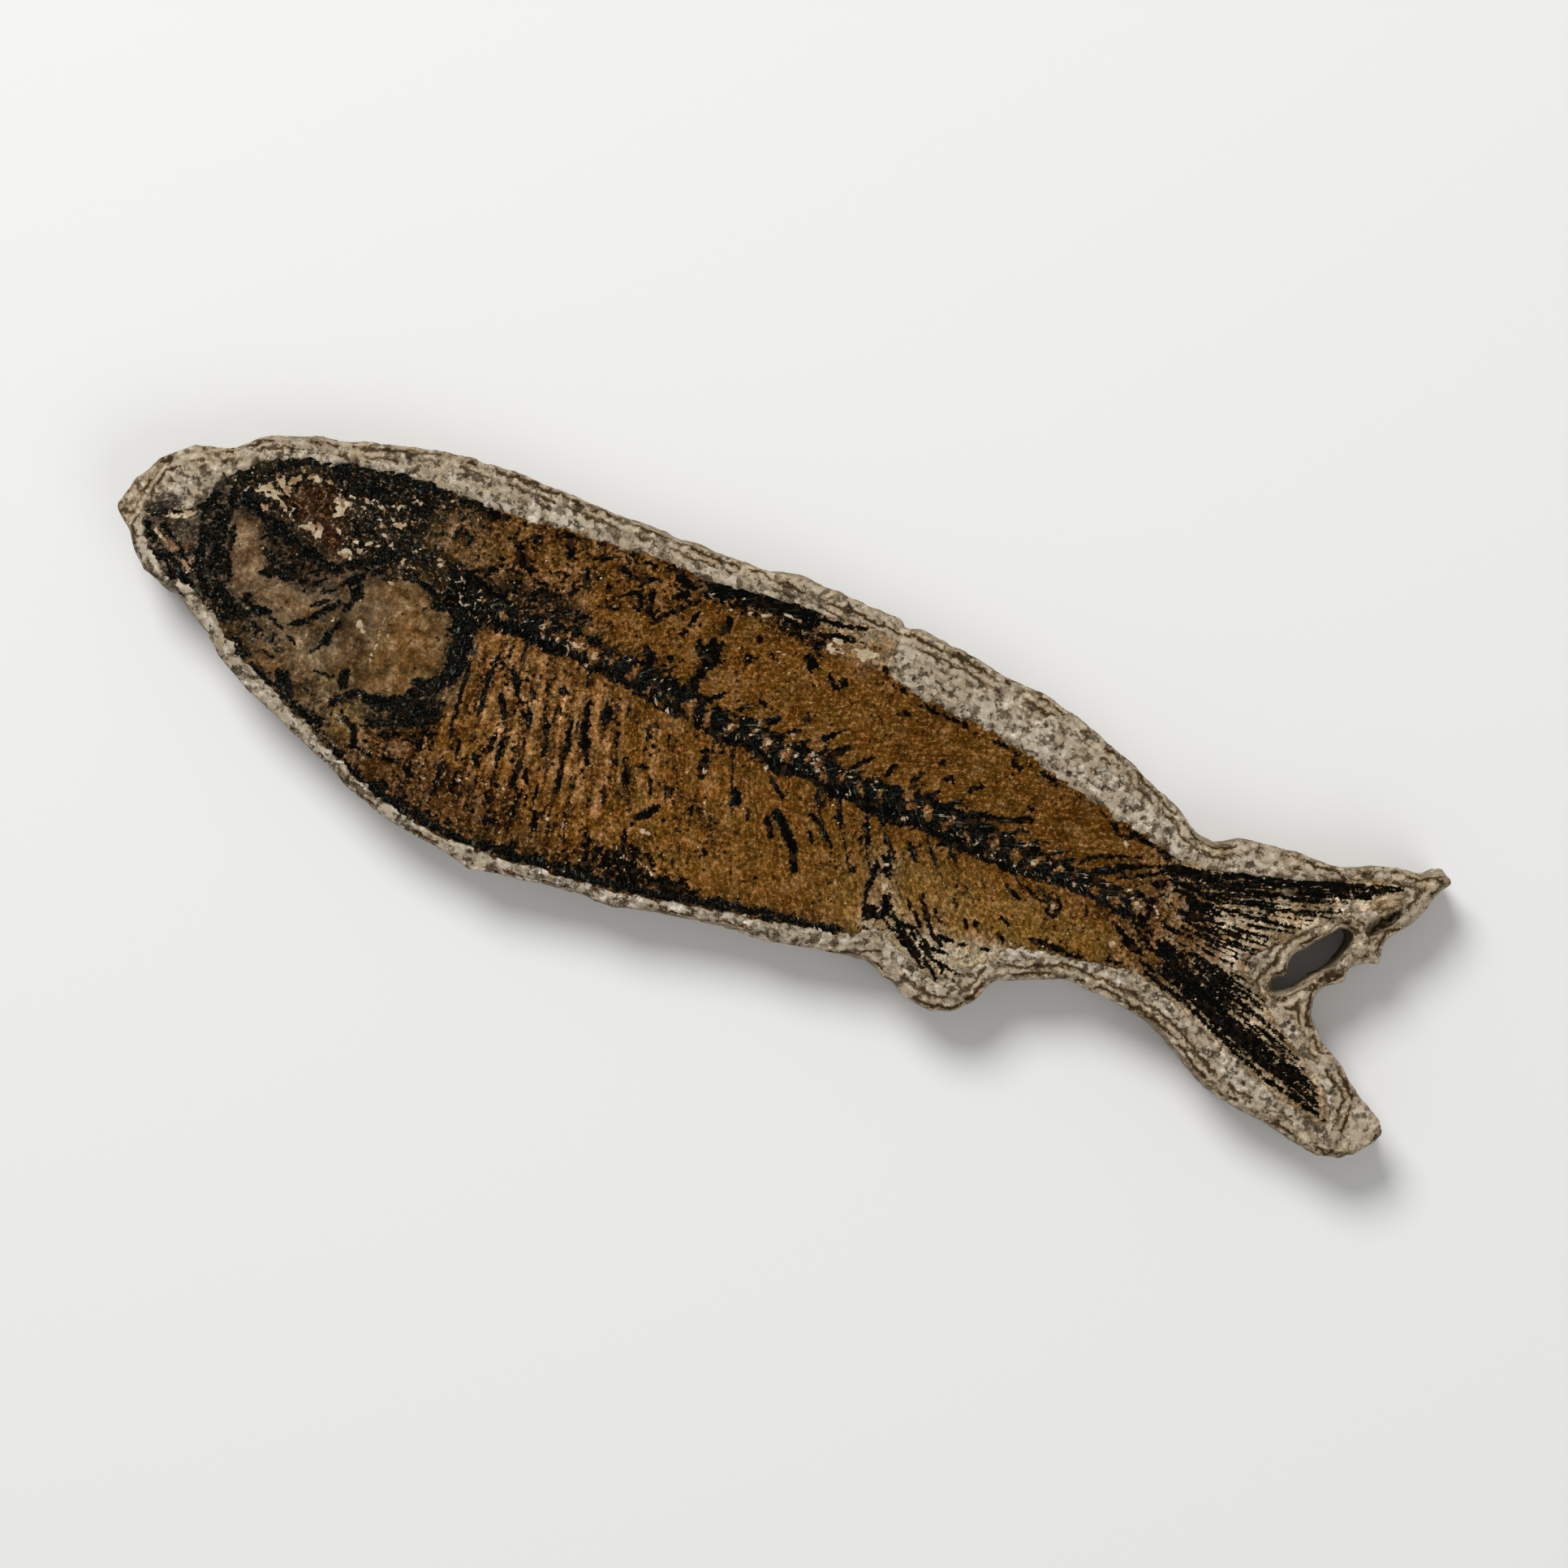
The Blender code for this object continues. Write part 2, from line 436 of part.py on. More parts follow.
def at_share(path, share):
    """The point at a share of the path's count of points."""
    position = share * (len(path) - 1)
    index = min(int(position), len(path) - 2)
    return between(path[index], path[index + 1], position - index)


def fan(roots, tips, count, thick, thin):
    """Fin rays spread evenly from a line of roots to a line of tips."""
    rays = []
    for index in range(count):
        share = index / (count - 1)
        root, tip = at_share(roots, share), at_share(tips, share)
        rays.append([(*root, thick), (*tip, thin)])
    return rays


def ridge(path, radius):
    """A ridge along a path, thinner at its two ends."""
    line = [(x, y, radius) for x, y in path]
    for end in (0, -1):
        line[end] = (*path[end], radius * RIDGE_END)
    return line


def ellipse(centre, half_width, half_height, count):
    points = []
    for index in range(count):
        turn = 2 * math.pi * index / count
        points.append((centre[0] + half_width * math.cos(turn), centre[1] + half_height * math.sin(turn)))
    return points


def make_stone():
    """The limestone: a plate with a broken rim, and the pocket that the fish is bedded in."""
    stone = flat_plate("stone_matrix", [STONE_OUTLINE, SLOT_OUTLINE], 0.0, STONE_TOP, STONE_CHAMFER,
                       steps=STRAIGHT_STEPS)
    noise.seed_set(RIM_SEED)
    shape = bmesh.new()
    shape.from_mesh(stone.data)
    for level in RIM_LEVELS:
        everything = shape.verts[:] + shape.edges[:] + shape.faces[:]
        bmesh.ops.bisect_plane(shape, geom=everything, plane_co=(0, 0, level * MM), plane_no=(0, 0, 1))
    for vertex in shape.verts:
        height = vertex.co.z / MM
        if STONE_CHAMFER / 2 < height < STONE_TOP - STONE_CHAMFER / 2:
            push = noise.noise_vector(vertex.co / (RIM_PATCH * MM)) * RIM_ROUGHNESS * MM
            vertex.co.x += push.x
            vertex.co.y += push.y
    shape.to_mesh(stone.data)
    shape.free()
    pocket = flat_plate("pocket", [FISH_OUTLINE], POCKET_FLOOR, CUTTER_TOP, steps=STRAIGHT_STEPS)
    combine(stone, "DIFFERENCE", pocket)
    finish_piece(stone, LIMESTONE, STONE_ROUGHNESS, sharp_from=BROKEN_ANGLE)


def column_line():
    """Points along the column. Its radius is widest at each vertebra's rims and narrow at the discs."""
    line = []
    for index in range(COLUMN_COUNT):
        start = COLUMN_START + index * VERTEBRA_PITCH
        taper = 1.0 - TAIL_TAPER * index / COLUMN_COUNT
        for share, radius in ((0.0, DISC_RADIUS), (FRONT_RIM, RIM_RADIUS), (REAR_RIM, RIM_RADIUS)):
            x = start + share * VERTEBRA_PITCH
            line.append((x, at_x(COLUMN_PATH, x), radius * taper))
    end = COLUMN_START + COLUMN_COUNT * VERTEBRA_PITCH
    line.append((end, at_x(COLUMN_PATH, end), DISC_RADIUS * (1.0 - TAIL_TAPER)))
    return line


def spine_row(first, last, lengths, leans, side, radii):
    """Ribs or spines, one from each vertebra's middle, up (side 1) or down (side -1) and to the tail."""
    row = []
    root, tip = radii
    for index in range(first, last + 1):
        share = (index - first) / (last - first)
        length = lengths[0] + (lengths[1] - lengths[0]) * share
        lean = math.radians(leans[0] + (leans[1] - leans[0]) * share)
        x = COLUMN_START + (index + 0.5) * VERTEBRA_PITCH
        start = Vector((x, at_x(COLUMN_PATH, x)))
        end = start + Vector((math.sin(lean), side * math.cos(lean))) * length
        middle = (start + end) / 2 - Vector((SPINE_BOW * length, 0.0))
        row.append([(*start, root), (*middle, (root + tip) / 2), (*end, tip)])
    return row


def make_backbone():
    """The vertebrae with the ribs and spines that grow from them, flat where they lie on the skin."""
    axis_height = BONE_BASE - RIDGE_SINK
    column = rods("backbone", [column_line()], axis_height, COLUMN_SIDES, COLUMN_FLATNESS)
    spines = spine_row(1, LAST_RIB, RIB_LENGTHS, RIB_LEANS, -1, RIB_RADII)
    spines += spine_row(LAST_RIB + 1, LAST_SPINE, HAEMAL_LENGTHS, HAEMAL_LEANS, -1, HAEMAL_RADII)
    spines += spine_row(1, LAST_SPINE, NEURAL_LENGTHS, NEURAL_LEANS, 1, NEURAL_RADII)
    combine(column, "UNION", rods("spines", spines, axis_height), overlapping=True)
    combine(column, "DIFFERENCE", slab("skin_side", 0.0, BONE_BASE))
    finish_piece(column, BONE_BLACK, BONE_ROUGHNESS)


def make_eye():
    """The stained eye, a low dome."""
    mesh = bpy.data.meshes.new("eye")
    shape = bmesh.new()
    bmesh.ops.create_uvsphere(shape, u_segments=EYE_SEGMENTS, v_segments=EYE_RINGS, radius=1.0)
    place = Matrix.Translation((EYE_CENTRE[0] * MM, EYE_CENTRE[1] * MM, (FILM_BASE + EYE_LIFT) * MM))
    size = Matrix.Diagonal((EYE_HALF_WIDTH * MM, EYE_HALF_HEIGHT * MM, EYE_RISE * MM, 1.0))
    bmesh.ops.transform(shape, matrix=place @ size, verts=shape.verts)
    shape.to_mesh(mesh)
    shape.free()
    eye = new_object("eye", mesh)
    combine(eye, "DIFFERENCE", slab("under_eye", 0.0, FILM_BASE))
    finish_piece(eye, EYE_RUST, FIN_ROUGHNESS)


def scute_strip():
    """The outline of the narrow strip of scutes along the belly's edge."""
    inner = [(x + STRIP_SHIFT, y + STRIP_WIDTH) for x, y in reversed(BELLY_EDGE)]
    return BELLY_EDGE + inner


def scute_keels():
    keels = []
    for index in range(SCUTE_COUNT):
        x, y = at_share(BELLY_EDGE, (index + FIRST_SCUTE) / (SCUTE_COUNT + SPARE_SCUTES))
        keel = []
        for along, across, radius in (KEEL_FRONT, KEEL_REAR):
            keel.append((x + along, y + across, radius))
        keels.append(keel)
    return keels


OUTLINES = {
    "eye": ellipse(EYE_CENTRE, EYE_HALF_WIDTH, EYE_HALF_HEIGHT, EYE_ROOM_POINTS),
    "upper_jaw": UPPER_JAW,
    "lower_jaw": LOWER_JAW,
    "cheek": CHEEK,
    "gill_cover": GILL_COVER,
    "shoulder_girdle": SHOULDER,
    "pectoral_fin": PECTORAL_FIN,
    "skull": SKULL,
    "throat": THROAT,
    "dorsal_fin": DORSAL_FIN,
    "anal_fin": ANAL_FIN,
    "tail_fin_upper": TAIL_UPPER,
    "tail_fin_lower": TAIL_LOWER,
    "belly_scutes": scute_strip(),
    "body_skin": SKIN,
}

clear_scene()
fish = new_collection("knightia_fossil_fish")
cutters = new_collection("cutters")
inlay = flat_plate("inlay", [FISH_OUTLINE], POCKET_FLOOR, CUTTER_TOP, grow=-GAP, steps=STRAIGHT_STEPS)
as_cutter(inlay)
rooms = {name: room_for(name, outline) for name, outline in OUTLINES.items()}

make_stone()
make_eye()
make_backbone()

# The head.
bedded("upper_jaw", THICK, [ridge(*line) for line in UPPER_JAW_RIDGES], [], JAW_BLACK, BONE_ROUGHNESS)
bedded("lower_jaw", MIDDLING, [ridge(*line) for line in LOWER_JAW_RIDGES], ["upper_jaw"],
       JAW_BROWN, FIN_ROUGHNESS)
bedded("cheek", MIDDLING, [ridge(*line) for line in CHEEK_RIDGES], ["upper_jaw", "eye", "gill_cover"],
       CHEEK_BROWN, CHEEK_ROUGHNESS)
bedded("gill_cover", THICK, [ridge(*line) for line in GILL_RIDGES], [],
       GILL_BROWN, BROWN_ROUGHNESS, at_edge=False)
bedded("skull", THICK, [ridge(*line) for line in SKULL_RIDGES],
       ["eye", "upper_jaw", "cheek", "gill_cover", "shoulder_girdle"], SKULL_BLACK, BONE_ROUGHNESS)
bedded("throat", THIN, [ridge(*line) for line in THROAT_RIDGES],
       ["upper_jaw", "lower_jaw", "cheek", "gill_cover", "shoulder_girdle"], THROAT_BROWN, BROWN_ROUGHNESS)

# The girdle, the fins and the scutes.
bedded("shoulder_girdle", STOUT, [ridge(*line) for line in SHOULDER_RIDGES], ["gill_cover"],
       SKULL_BLACK, BONE_ROUGHNESS, at_edge=False)
bedded("pectoral_fin", THICK, fan(*PECTORAL_RAYS), ["shoulder_girdle", "throat"],
       PECTORAL_BROWN, CHEEK_ROUGHNESS, at_edge=False)
bedded("dorsal_fin", THIN, fan(*DORSAL_RAYS), [], DORSAL_BROWN, FIN_ROUGHNESS)
bedded("anal_fin", THIN, [ridge(*ANAL_SUPPORT)] + fan(*ANAL_RAYS), [], ANAL_BROWN, FIN_ROUGHNESS)
bedded("tail_fin_upper", THIN, fan(*UPPER_TAIL_RAYS), [], TAIL_BLACK, FIN_ROUGHNESS)
bedded("tail_fin_lower", THIN, fan(*LOWER_TAIL_RAYS), ["tail_fin_upper"], TAIL_BLACK, FIN_ROUGHNESS)
bedded("belly_scutes", THIN, scute_keels(), ["throat"], SCUTE_BLACK, FIN_ROUGHNESS)

# The skin fills what the others leave.
bedded("body_skin", THIN, [],
       ["skull", "gill_cover", "shoulder_girdle", "throat", "pectoral_fin", "dorsal_fin", "anal_fin",
        "tail_fin_upper", "tail_fin_lower", "belly_scutes"], SKIN_BROWN, SKIN_ROUGHNESS)
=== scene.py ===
"""The looks of a fossil herring-like fish in pale limestone.

Places are written in millimetres in the part's own frame: +X from the snout to the tail, +Y from the belly
to the back, +Z up out of the stone. They become metres where a mesh is made.
The fish is one relief over a fine lattice, cut into the pieces of the part, so that neighbours meet.
Each mark of bone on it is a stroke or an area in a table. The materials break the marks up with fine noise.
"""
import math

import bpy
import numpy as np
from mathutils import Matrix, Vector
from mathutils.bvhtree import BVHTree


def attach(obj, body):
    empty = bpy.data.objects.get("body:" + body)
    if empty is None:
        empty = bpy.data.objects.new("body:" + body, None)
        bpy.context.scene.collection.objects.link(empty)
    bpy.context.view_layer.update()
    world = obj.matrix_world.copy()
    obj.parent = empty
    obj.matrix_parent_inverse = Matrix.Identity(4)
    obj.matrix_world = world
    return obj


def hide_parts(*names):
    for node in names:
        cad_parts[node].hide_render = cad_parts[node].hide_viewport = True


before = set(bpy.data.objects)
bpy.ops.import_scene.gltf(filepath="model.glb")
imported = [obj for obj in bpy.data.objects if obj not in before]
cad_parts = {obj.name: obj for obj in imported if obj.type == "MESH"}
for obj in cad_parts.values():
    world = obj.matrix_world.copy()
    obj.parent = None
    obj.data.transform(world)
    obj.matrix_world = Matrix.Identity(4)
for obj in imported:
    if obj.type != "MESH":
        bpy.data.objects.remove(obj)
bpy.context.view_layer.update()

MM = 0.001

# Heights above the underside.
STONE_TOP = 7.5
POCKET_TOP = 7.2
PIECE_FLOOR = 7.0
BONE_FLOOR = 7.35
HIGHEST = 8.85
FILM_RISE = 0.16
EDGE_DEPTH = 0.24

# The lattice of the fish's relief.
STEP = 0.15
X_LOW, Y_LOW = -63.75, -17.7
X_CELLS, Y_CELLS = 838, 236
# The pieces reach this far under the stone round the fish, in cells.
REACH = 8

# The camera, over the middle of the photograph.
CAMERA_PLACE = (1.68, 0.05, 401.0 + 7.5)
CAMERA_TURN = math.radians(22.5)
CAMERA_LENS, CAMERA_SENSOR, CAMERA_CLIP = 100.0, 36.0, 0.01

# Noise. A noise's last numbers, beside its places, only tell it from the other noises.

SEED, KEYS = 11, 256
RANDOM = np.random.default_rng(SEED)
SHUFFLE = RANDOM.permutation(KEYS)
VALUES = RANDOM.random(KEYS)
# Each finer octave starts this far from the one before.
OCTAVE_SHIFT = 17.3

# The noises over two values: how many hills to a unit of each, a seed, the octaves, and for some how rough.
HILLS = {
    "ragged x": (0.9, 0.9, 51, 5, 0.7), "ragged y": (0.9, 0.9, 57, 5, 0.7),
    "wavy x": (0.35, 0.35, 61, 5, 0.65), "wavy y": (0.35, 0.35, 67, 5, 0.65),
    "lumps": (0.45, 0.45, 31, 3), "grit": (1.6, 1.6, 14, 4, 0.7),
    "threads": (1.7, 0.40, 3, 4), "streaks": (2.6, 0.14, 9, 3, 0.6),
    "film edge": (1.0, 1.0, 12, 4, 0.72), "film top": (2.2, 2.2, 2, 3), "eye top": (1.6, 1.6, 7, 3),
    "column width": (0.9, 0.9, 6, 2), "column top": (1.9, 1.9, 4, 3),
    "speckles": (0.13, 0.13, 1, 3), "blots": (0.45, 0.95, 71, 4, 0.65), "fringe": (0.8, 0.8, 44, 4, 0.7),
    "calcite": (1.7, 1.7, 24, 3), "skin": (0.16, 0.3, 21, 3), "grain": (1.1, 1.1, 18, 4, 0.62),
    "wide grain": (0.5, 0.5, 85, 2), "head grain": (0.5, 0.5, 75, 3),
    "warmth": (0.6, 0.6, 35, 3), "redness": (2.0, 2.0, 41, 3, 0.7),
    "stone lumps": (0.32, 0.32, 3, 3), "stone grain": (1.3, 1.3, 8, 3), "flakes": (0.45, 0.45, 2, 4),
}


def noise(x, y, z=0.0):
    """Smooth noise from 0 to 1 with one hill or hollow to a unit."""
    x, y, z = np.broadcast_arrays(np.asarray(x, float), np.asarray(y, float), np.asarray(z, float))
    corner = [np.floor(c).astype(int) for c in (x, y, z)]
    part = [c - f for c, f in zip((x, y, z), corner)]
    ease = [p * p * (3 - 2 * p) for p in part]
    total = np.zeros(x.shape)
    for i, j, k in np.ndindex(2, 2, 2):
        key = SHUFFLE[(corner[0] + i) & (KEYS - 1)]
        key = SHUFFLE[(key + corner[1] + j) & (KEYS - 1)]
        value = VALUES[SHUFFLE[(key + corner[2] + k) & (KEYS - 1)]]
        weight = (ease[0] if i else 1 - ease[0]) * (ease[1] if j else 1 - ease[1])
        total += value * weight * (ease[2] if k else 1 - ease[2])
    return total


def rough(x, y, z=0.0, octaves=4, gain=0.55):
    """Noise with finer and finer hills, centred on 0 and mostly within 0.5 either way."""
    total, size, scale = 0.0, 0.0, 1.0
    for octave in range(octaves):
        shift = OCTAVE_SHIFT * octave
        lower = scale ** (1 - gain)
        total = total + noise(x * scale + shift, y * scale - shift, z * scale + shift) / lower
        size += 1.0 / lower
        scale *= 2.0
    return total / size - 0.5


def smooth(low, high, value):
    """From 0 at low to 1 at high, and level beyond them. Low may be the larger one."""
    share = np.clip((value - low) / (high - low), 0.0, 1.0)
    return share * share * (3 - 2 * share)


def at_x(path, x):
    """The second value of a path where its first one is x."""
    return np.interp(x, [p[0] for p in path], [p[1] for p in path])


def pairs(numbers):
    """The places in a row of numbers: x, y, x, y and so on."""
    return list(zip(numbers[::2], numbers[1::2]))


# The lattice

XS = X_LOW + STEP * np.arange(X_CELLS + 1)
YS = Y_LOW + STEP * np.arange(Y_CELLS + 1)
X, Y = np.meshgrid(XS, YS, indexing="ij")


def hills(name, x=X, y=Y):
    """One of the named noises, over the lattice or at other places."""
    along_x, along_y, *settings = HILLS[name]
    return rough(x * along_x, y * along_y, *settings)


# The same places pushed about a little, so that every mark's outline is ragged, and further, for areas.
RAGGED_REACH, RAGGED_PUSH, WAVY_PUSH = 0.5, 1.1, 2.2
X_RAGGED = X + RAGGED_PUSH * hills("ragged x")
Y_RAGGED = Y + RAGGED_PUSH * hills("ragged y")
X_WAVY = X_RAGGED + WAVY_PUSH * hills("wavy x")
Y_WAVY = Y_RAGGED + WAVY_PUSH * hills("wavy y")


def window(path, margin):
    """The part of the lattice within a margin of a path."""
    spans = []
    for values, low, cells in zip(zip(*path), (X_LOW, Y_LOW), (X_CELLS, Y_CELLS)):
        first = max(int((min(values) - margin - low) / STEP), 0)
        last = min(int((max(values) + margin - low) / STEP) + 2, cells + 1)
        spans.append(slice(first, max(last, first)))
    return spans


def distance(x, y, path, closed=False):
    """How far each point is from a path, and the share of the path's length at its nearest point."""
    best = np.full(x.shape, 1e9)
    along = np.zeros(x.shape)
    points = list(path) + ([path[0]] if closed else [])
    lengths = [math.dist(a, b) for a, b in zip(points, points[1:])]
    whole, done = max(sum(lengths), 1e-9), 0.0
    for (x0, y0), (x1, y1), length in zip(points, points[1:], lengths):
        share = np.zeros(x.shape)
        if length > 0:
            share = np.clip(((x - x0) * (x1 - x0) + (y - y0) * (y1 - y0)) / length ** 2, 0.0, 1.0)
        away = np.hypot(x - x0 - share * (x1 - x0), y - y0 - share * (y1 - y0))
        nearer = away < best
        best = np.where(nearer, away, best)
        along = np.where(nearer, (done + share * length) / whole, along)
        done += length
    return best, along


def outline_depth(x, y, outline):
    """How far each point is inside an outline, below 0 outside it."""
    odd = np.zeros(x.shape, bool)
    for (x0, y0), (x1, y1) in zip(outline, outline[1:] + outline[:1]):
        if y0 != y1:
            odd ^= ((y0 > y) != (y1 > y)) & (x < (x1 - x0) * (y - y0) / (y1 - y0) + x0)
    away, _ = distance(x, y, outline, closed=True)
    return np.where(odd, away, -away)


def blur(field, passes):
    """Averages each value with its neighbours, a number of times."""
    for _ in range(passes):
        padded = np.pad(field, 1, mode="edge")
        field = (padded[:-2, 1:-1] + 2 * padded[1:-1, 1:-1] + padded[2:, 1:-1]) / 4
        padded = np.pad(field, 1, mode="edge")
        field = (padded[1:-1, :-2] + 2 * padded[1:-1, 1:-1] + padded[1:-1, 2:]) / 4
    return field


def to_corners(cells):
    """Cell values averaged to the lattice's corners."""
    padded = np.pad(cells.astype(float), 1, mode="edge")
    return (padded[:-1, :-1] + padded[1:, :-1] + padded[:-1, 1:] + padded[1:, 1:]) / 4


def loosened(i, j, share):
    """The places of a window, pushed about by a share of the full raggedness."""
    return X[i, j] + share * (X_RAGGED[i, j] - X[i, j]), Y[i, j] + share * (Y_RAGGED[i, j] - Y[i, j])


# A thin mark has a harder edge and is pushed about less. Each grows with the width.
MARK_EDGE, EDGE_TO_WIDTH = 0.1, 0.35
MARK_LOOSE, LOOSE_TO_WIDTH, MOST_LOOSE = 0.3, 0.8, 1.5
# How wide a mark's ends are against its middle, and how full it is between them.
MARK_TAIL, MARK_FULL = 0.55, 0.6


def stroke(field, path, width, strength=1.0, soft=0.3, wavy=False):
    """A tapered mark along a path. Half of its strength is left at its edge, and its ends are narrower."""
    soft = min(soft, MARK_EDGE + EDGE_TO_WIDTH * width)
    i, j = window(path, width / 2 + soft + (3 if wavy else 1.5) * RAGGED_REACH)
    if i.start == i.stop or j.start == j.stop:
        return
    if wavy:
        x, y = X_WAVY[i, j], Y_WAVY[i, j]
    else:
        x, y = loosened(i, j, min(MOST_LOOSE, MARK_LOOSE + LOOSE_TO_WIDTH * width))
    away, along = distance(x, y, path)
    full = np.sin(np.pi * np.clip(along, 0.02, 0.98)) ** MARK_FULL
    half = width / 2 * (MARK_TAIL + (1 - MARK_TAIL) * full)
    mark = strength * np.clip(0.5 + (half - away) / (2 * soft), 0.0, 1.0)
    field[i, j] = np.maximum(field[i, j], mark)


def stroke_less(field, path, width, share, soft=0.4):
    """Thins a mark out along a path."""
    i, j = window(path, width / 2 + soft + 3 * RAGGED_REACH)
    away, _ = distance(X_WAVY[i, j], Y_WAVY[i, j], path)
    field[i, j] *= 1 - share * np.clip(0.5 + (width / 2 - away) / (2 * soft), 0.0, 1.0)


def area(field, outline, strength, soft=0.8):
    """A mark over an outline's inside, with a soft and ragged edge."""
    i, j = window(outline, soft + 3 * RAGGED_REACH)
    inner = outline_depth(X_WAVY[i, j], Y_WAVY[i, j], outline)
    field[i, j] = np.maximum(field[i, j], strength * smooth(-soft, soft, inner))


def srgb(red, green, blue):
    """A colour given as it looks on a screen, from 0 to 255, as light."""
    shares = [c / 255 for c in (red, green, blue)]
    return tuple(c / 12.92 if c <= 0.04045 else ((c + 0.055) / 1.055) ** 2.4 for c in shares)


# The marks

# The column of vertebrae, and the ribs and spines on it.
COLUMN_PATH = [
    (-33, 4.8), (-24, 4.5), (-16, 4.1), (-8, 3.2), (0, 2.6), (8, 2.4), (16, 2.5), (24, 2.2), (32, 1.9),
    (39, 1.7),
]
VERTEBRA_PITCH, COLUMN_START, COLUMN_COUNT = 2.07, -32.2, 33
COLUMN_RADIUS, TAIL_TAPER = 1.15, 0.3
LAST_RIB, LAST_SPINE = 20, 31
# Ribs, the spines below the column behind them, and the spines above it: the first and the last one, the
# lengths and the leans of those two, which side they are on, and the radius.
BONE_ROWS = [
    (1, LAST_RIB, (13.5, 9.5), (3, 34), -1, 0.26),
    (LAST_RIB + 1, LAST_SPINE, (7.5, 4.2), (38, 62), -1, 0.27),
    (1, LAST_SPINE, (3.6, 4.6), (40, 62), 1, 0.25),
]
BONE_POINTS, BONE_BOW = 6, 0.16

# The black band along the column: its upper and its lower edge, and how strong it is.
BAND_TOP = [
    (-35, 6.8), (-31, 6.6), (-28, 6.2), (-24, 5.9), (-20, 5.8), (-16, 5.5), (-13, 5.4), (-10, 4.8), (-6, 4.3),
    (-2, 4.1), (2, 3.9), (8, 3.7), (14, 3.9), (18, 4), (21, 4.1), (24, 3.5), (28, 3.1), (33, 3.3), (39, 3.2),
]
BAND_BOTTOM = [
    (-35, 2.6), (-31, 2.7), (-28, 2.9), (-24, 2.9), (-20, 2.7), (-16, 2.6), (-12, 2.3), (-8, 1.9), (-4, 1.4),
    (0, 0.9), (4, 0.7), (10, 0.5), (16, 0.8), (22, 0.8), (28, 0.7), (33, 0.9), (39, 0.7),
]
BAND_STRENGTH = [
    (-35, 0.82), (-24, 0.78), (-14, 0.82), (-8, 0.9), (4, 0.86), (20, 0.86), (30, 0.86), (39, 0.7),
]
BAND_EDGE, BAND_FRONT, BAND_REAR = (-0.5, 0.4), (-36.0, -33.0), (42.0, 36.0)
# The pale or rusty middles of the vertebrae: a place, how wide, and how pale.
CENTRES = [
    (-30.4, 5, 0.7, 0.5), (-28.2, 4.9, 0.8, 0.6), (-26.2, 5, 0.9, 0.6), (-24.3, 4.8, 1.1, 0.85),
    (-22.6, 4.7, 1, 0.8), (-20.7, 4.6, 1.3, 0.95), (-18.9, 4.4, 1.2, 0.9), (-17.4, 4.4, 0.9, 0.7),
    (-15, 4.1, 0.9, 0.7), (-13.2, 3.6, 0.9, 0.7), (-11.2, 3.5, 0.8, 0.6), (-9.1, 3.3, 1.2, 1),
    (-7.2, 3.2, 1.2, 0.95), (-5, 3.1, 1.2, 0.8), (-2.9, 2.9, 0.7, 0.4), (-1.1, 2.9, 1.1, 0.6),
    (0.7, 2.9, 1.2, 0.8), (2.6, 2.7, 1, 0.7), (4.2, 2.2, 1, 0.8), (6.1, 2.5, 1.2, 0.7),
    (8.2, 2.3, 1.2, 0.6), (10.3, 2.2, 1, 0.6), (12.8, 2.9, 1.2, 0.8), (14.8, 2.6, 1.2, 0.85),
    (17, 2.8, 1.1, 0.7), (19.2, 2.2, 1, 0.6), (21.4, 2.3, 1.3, 0.8), (23.5, 2.3, 1.1, 0.7),
    (25.5, 2.2, 1, 0.7), (27.4, 2.1, 1, 0.7), (29.5, 2, 1.1, 0.75), (31.8, 2, 1.1, 0.7),
    (34, 2.1, 1.1, 0.75), (36, 2, 1, 0.7), (38, 1.9, 0.9, 0.6),
]

# In every table of marks, a row has the sizes that are named first, and then the places, x and y in turn.

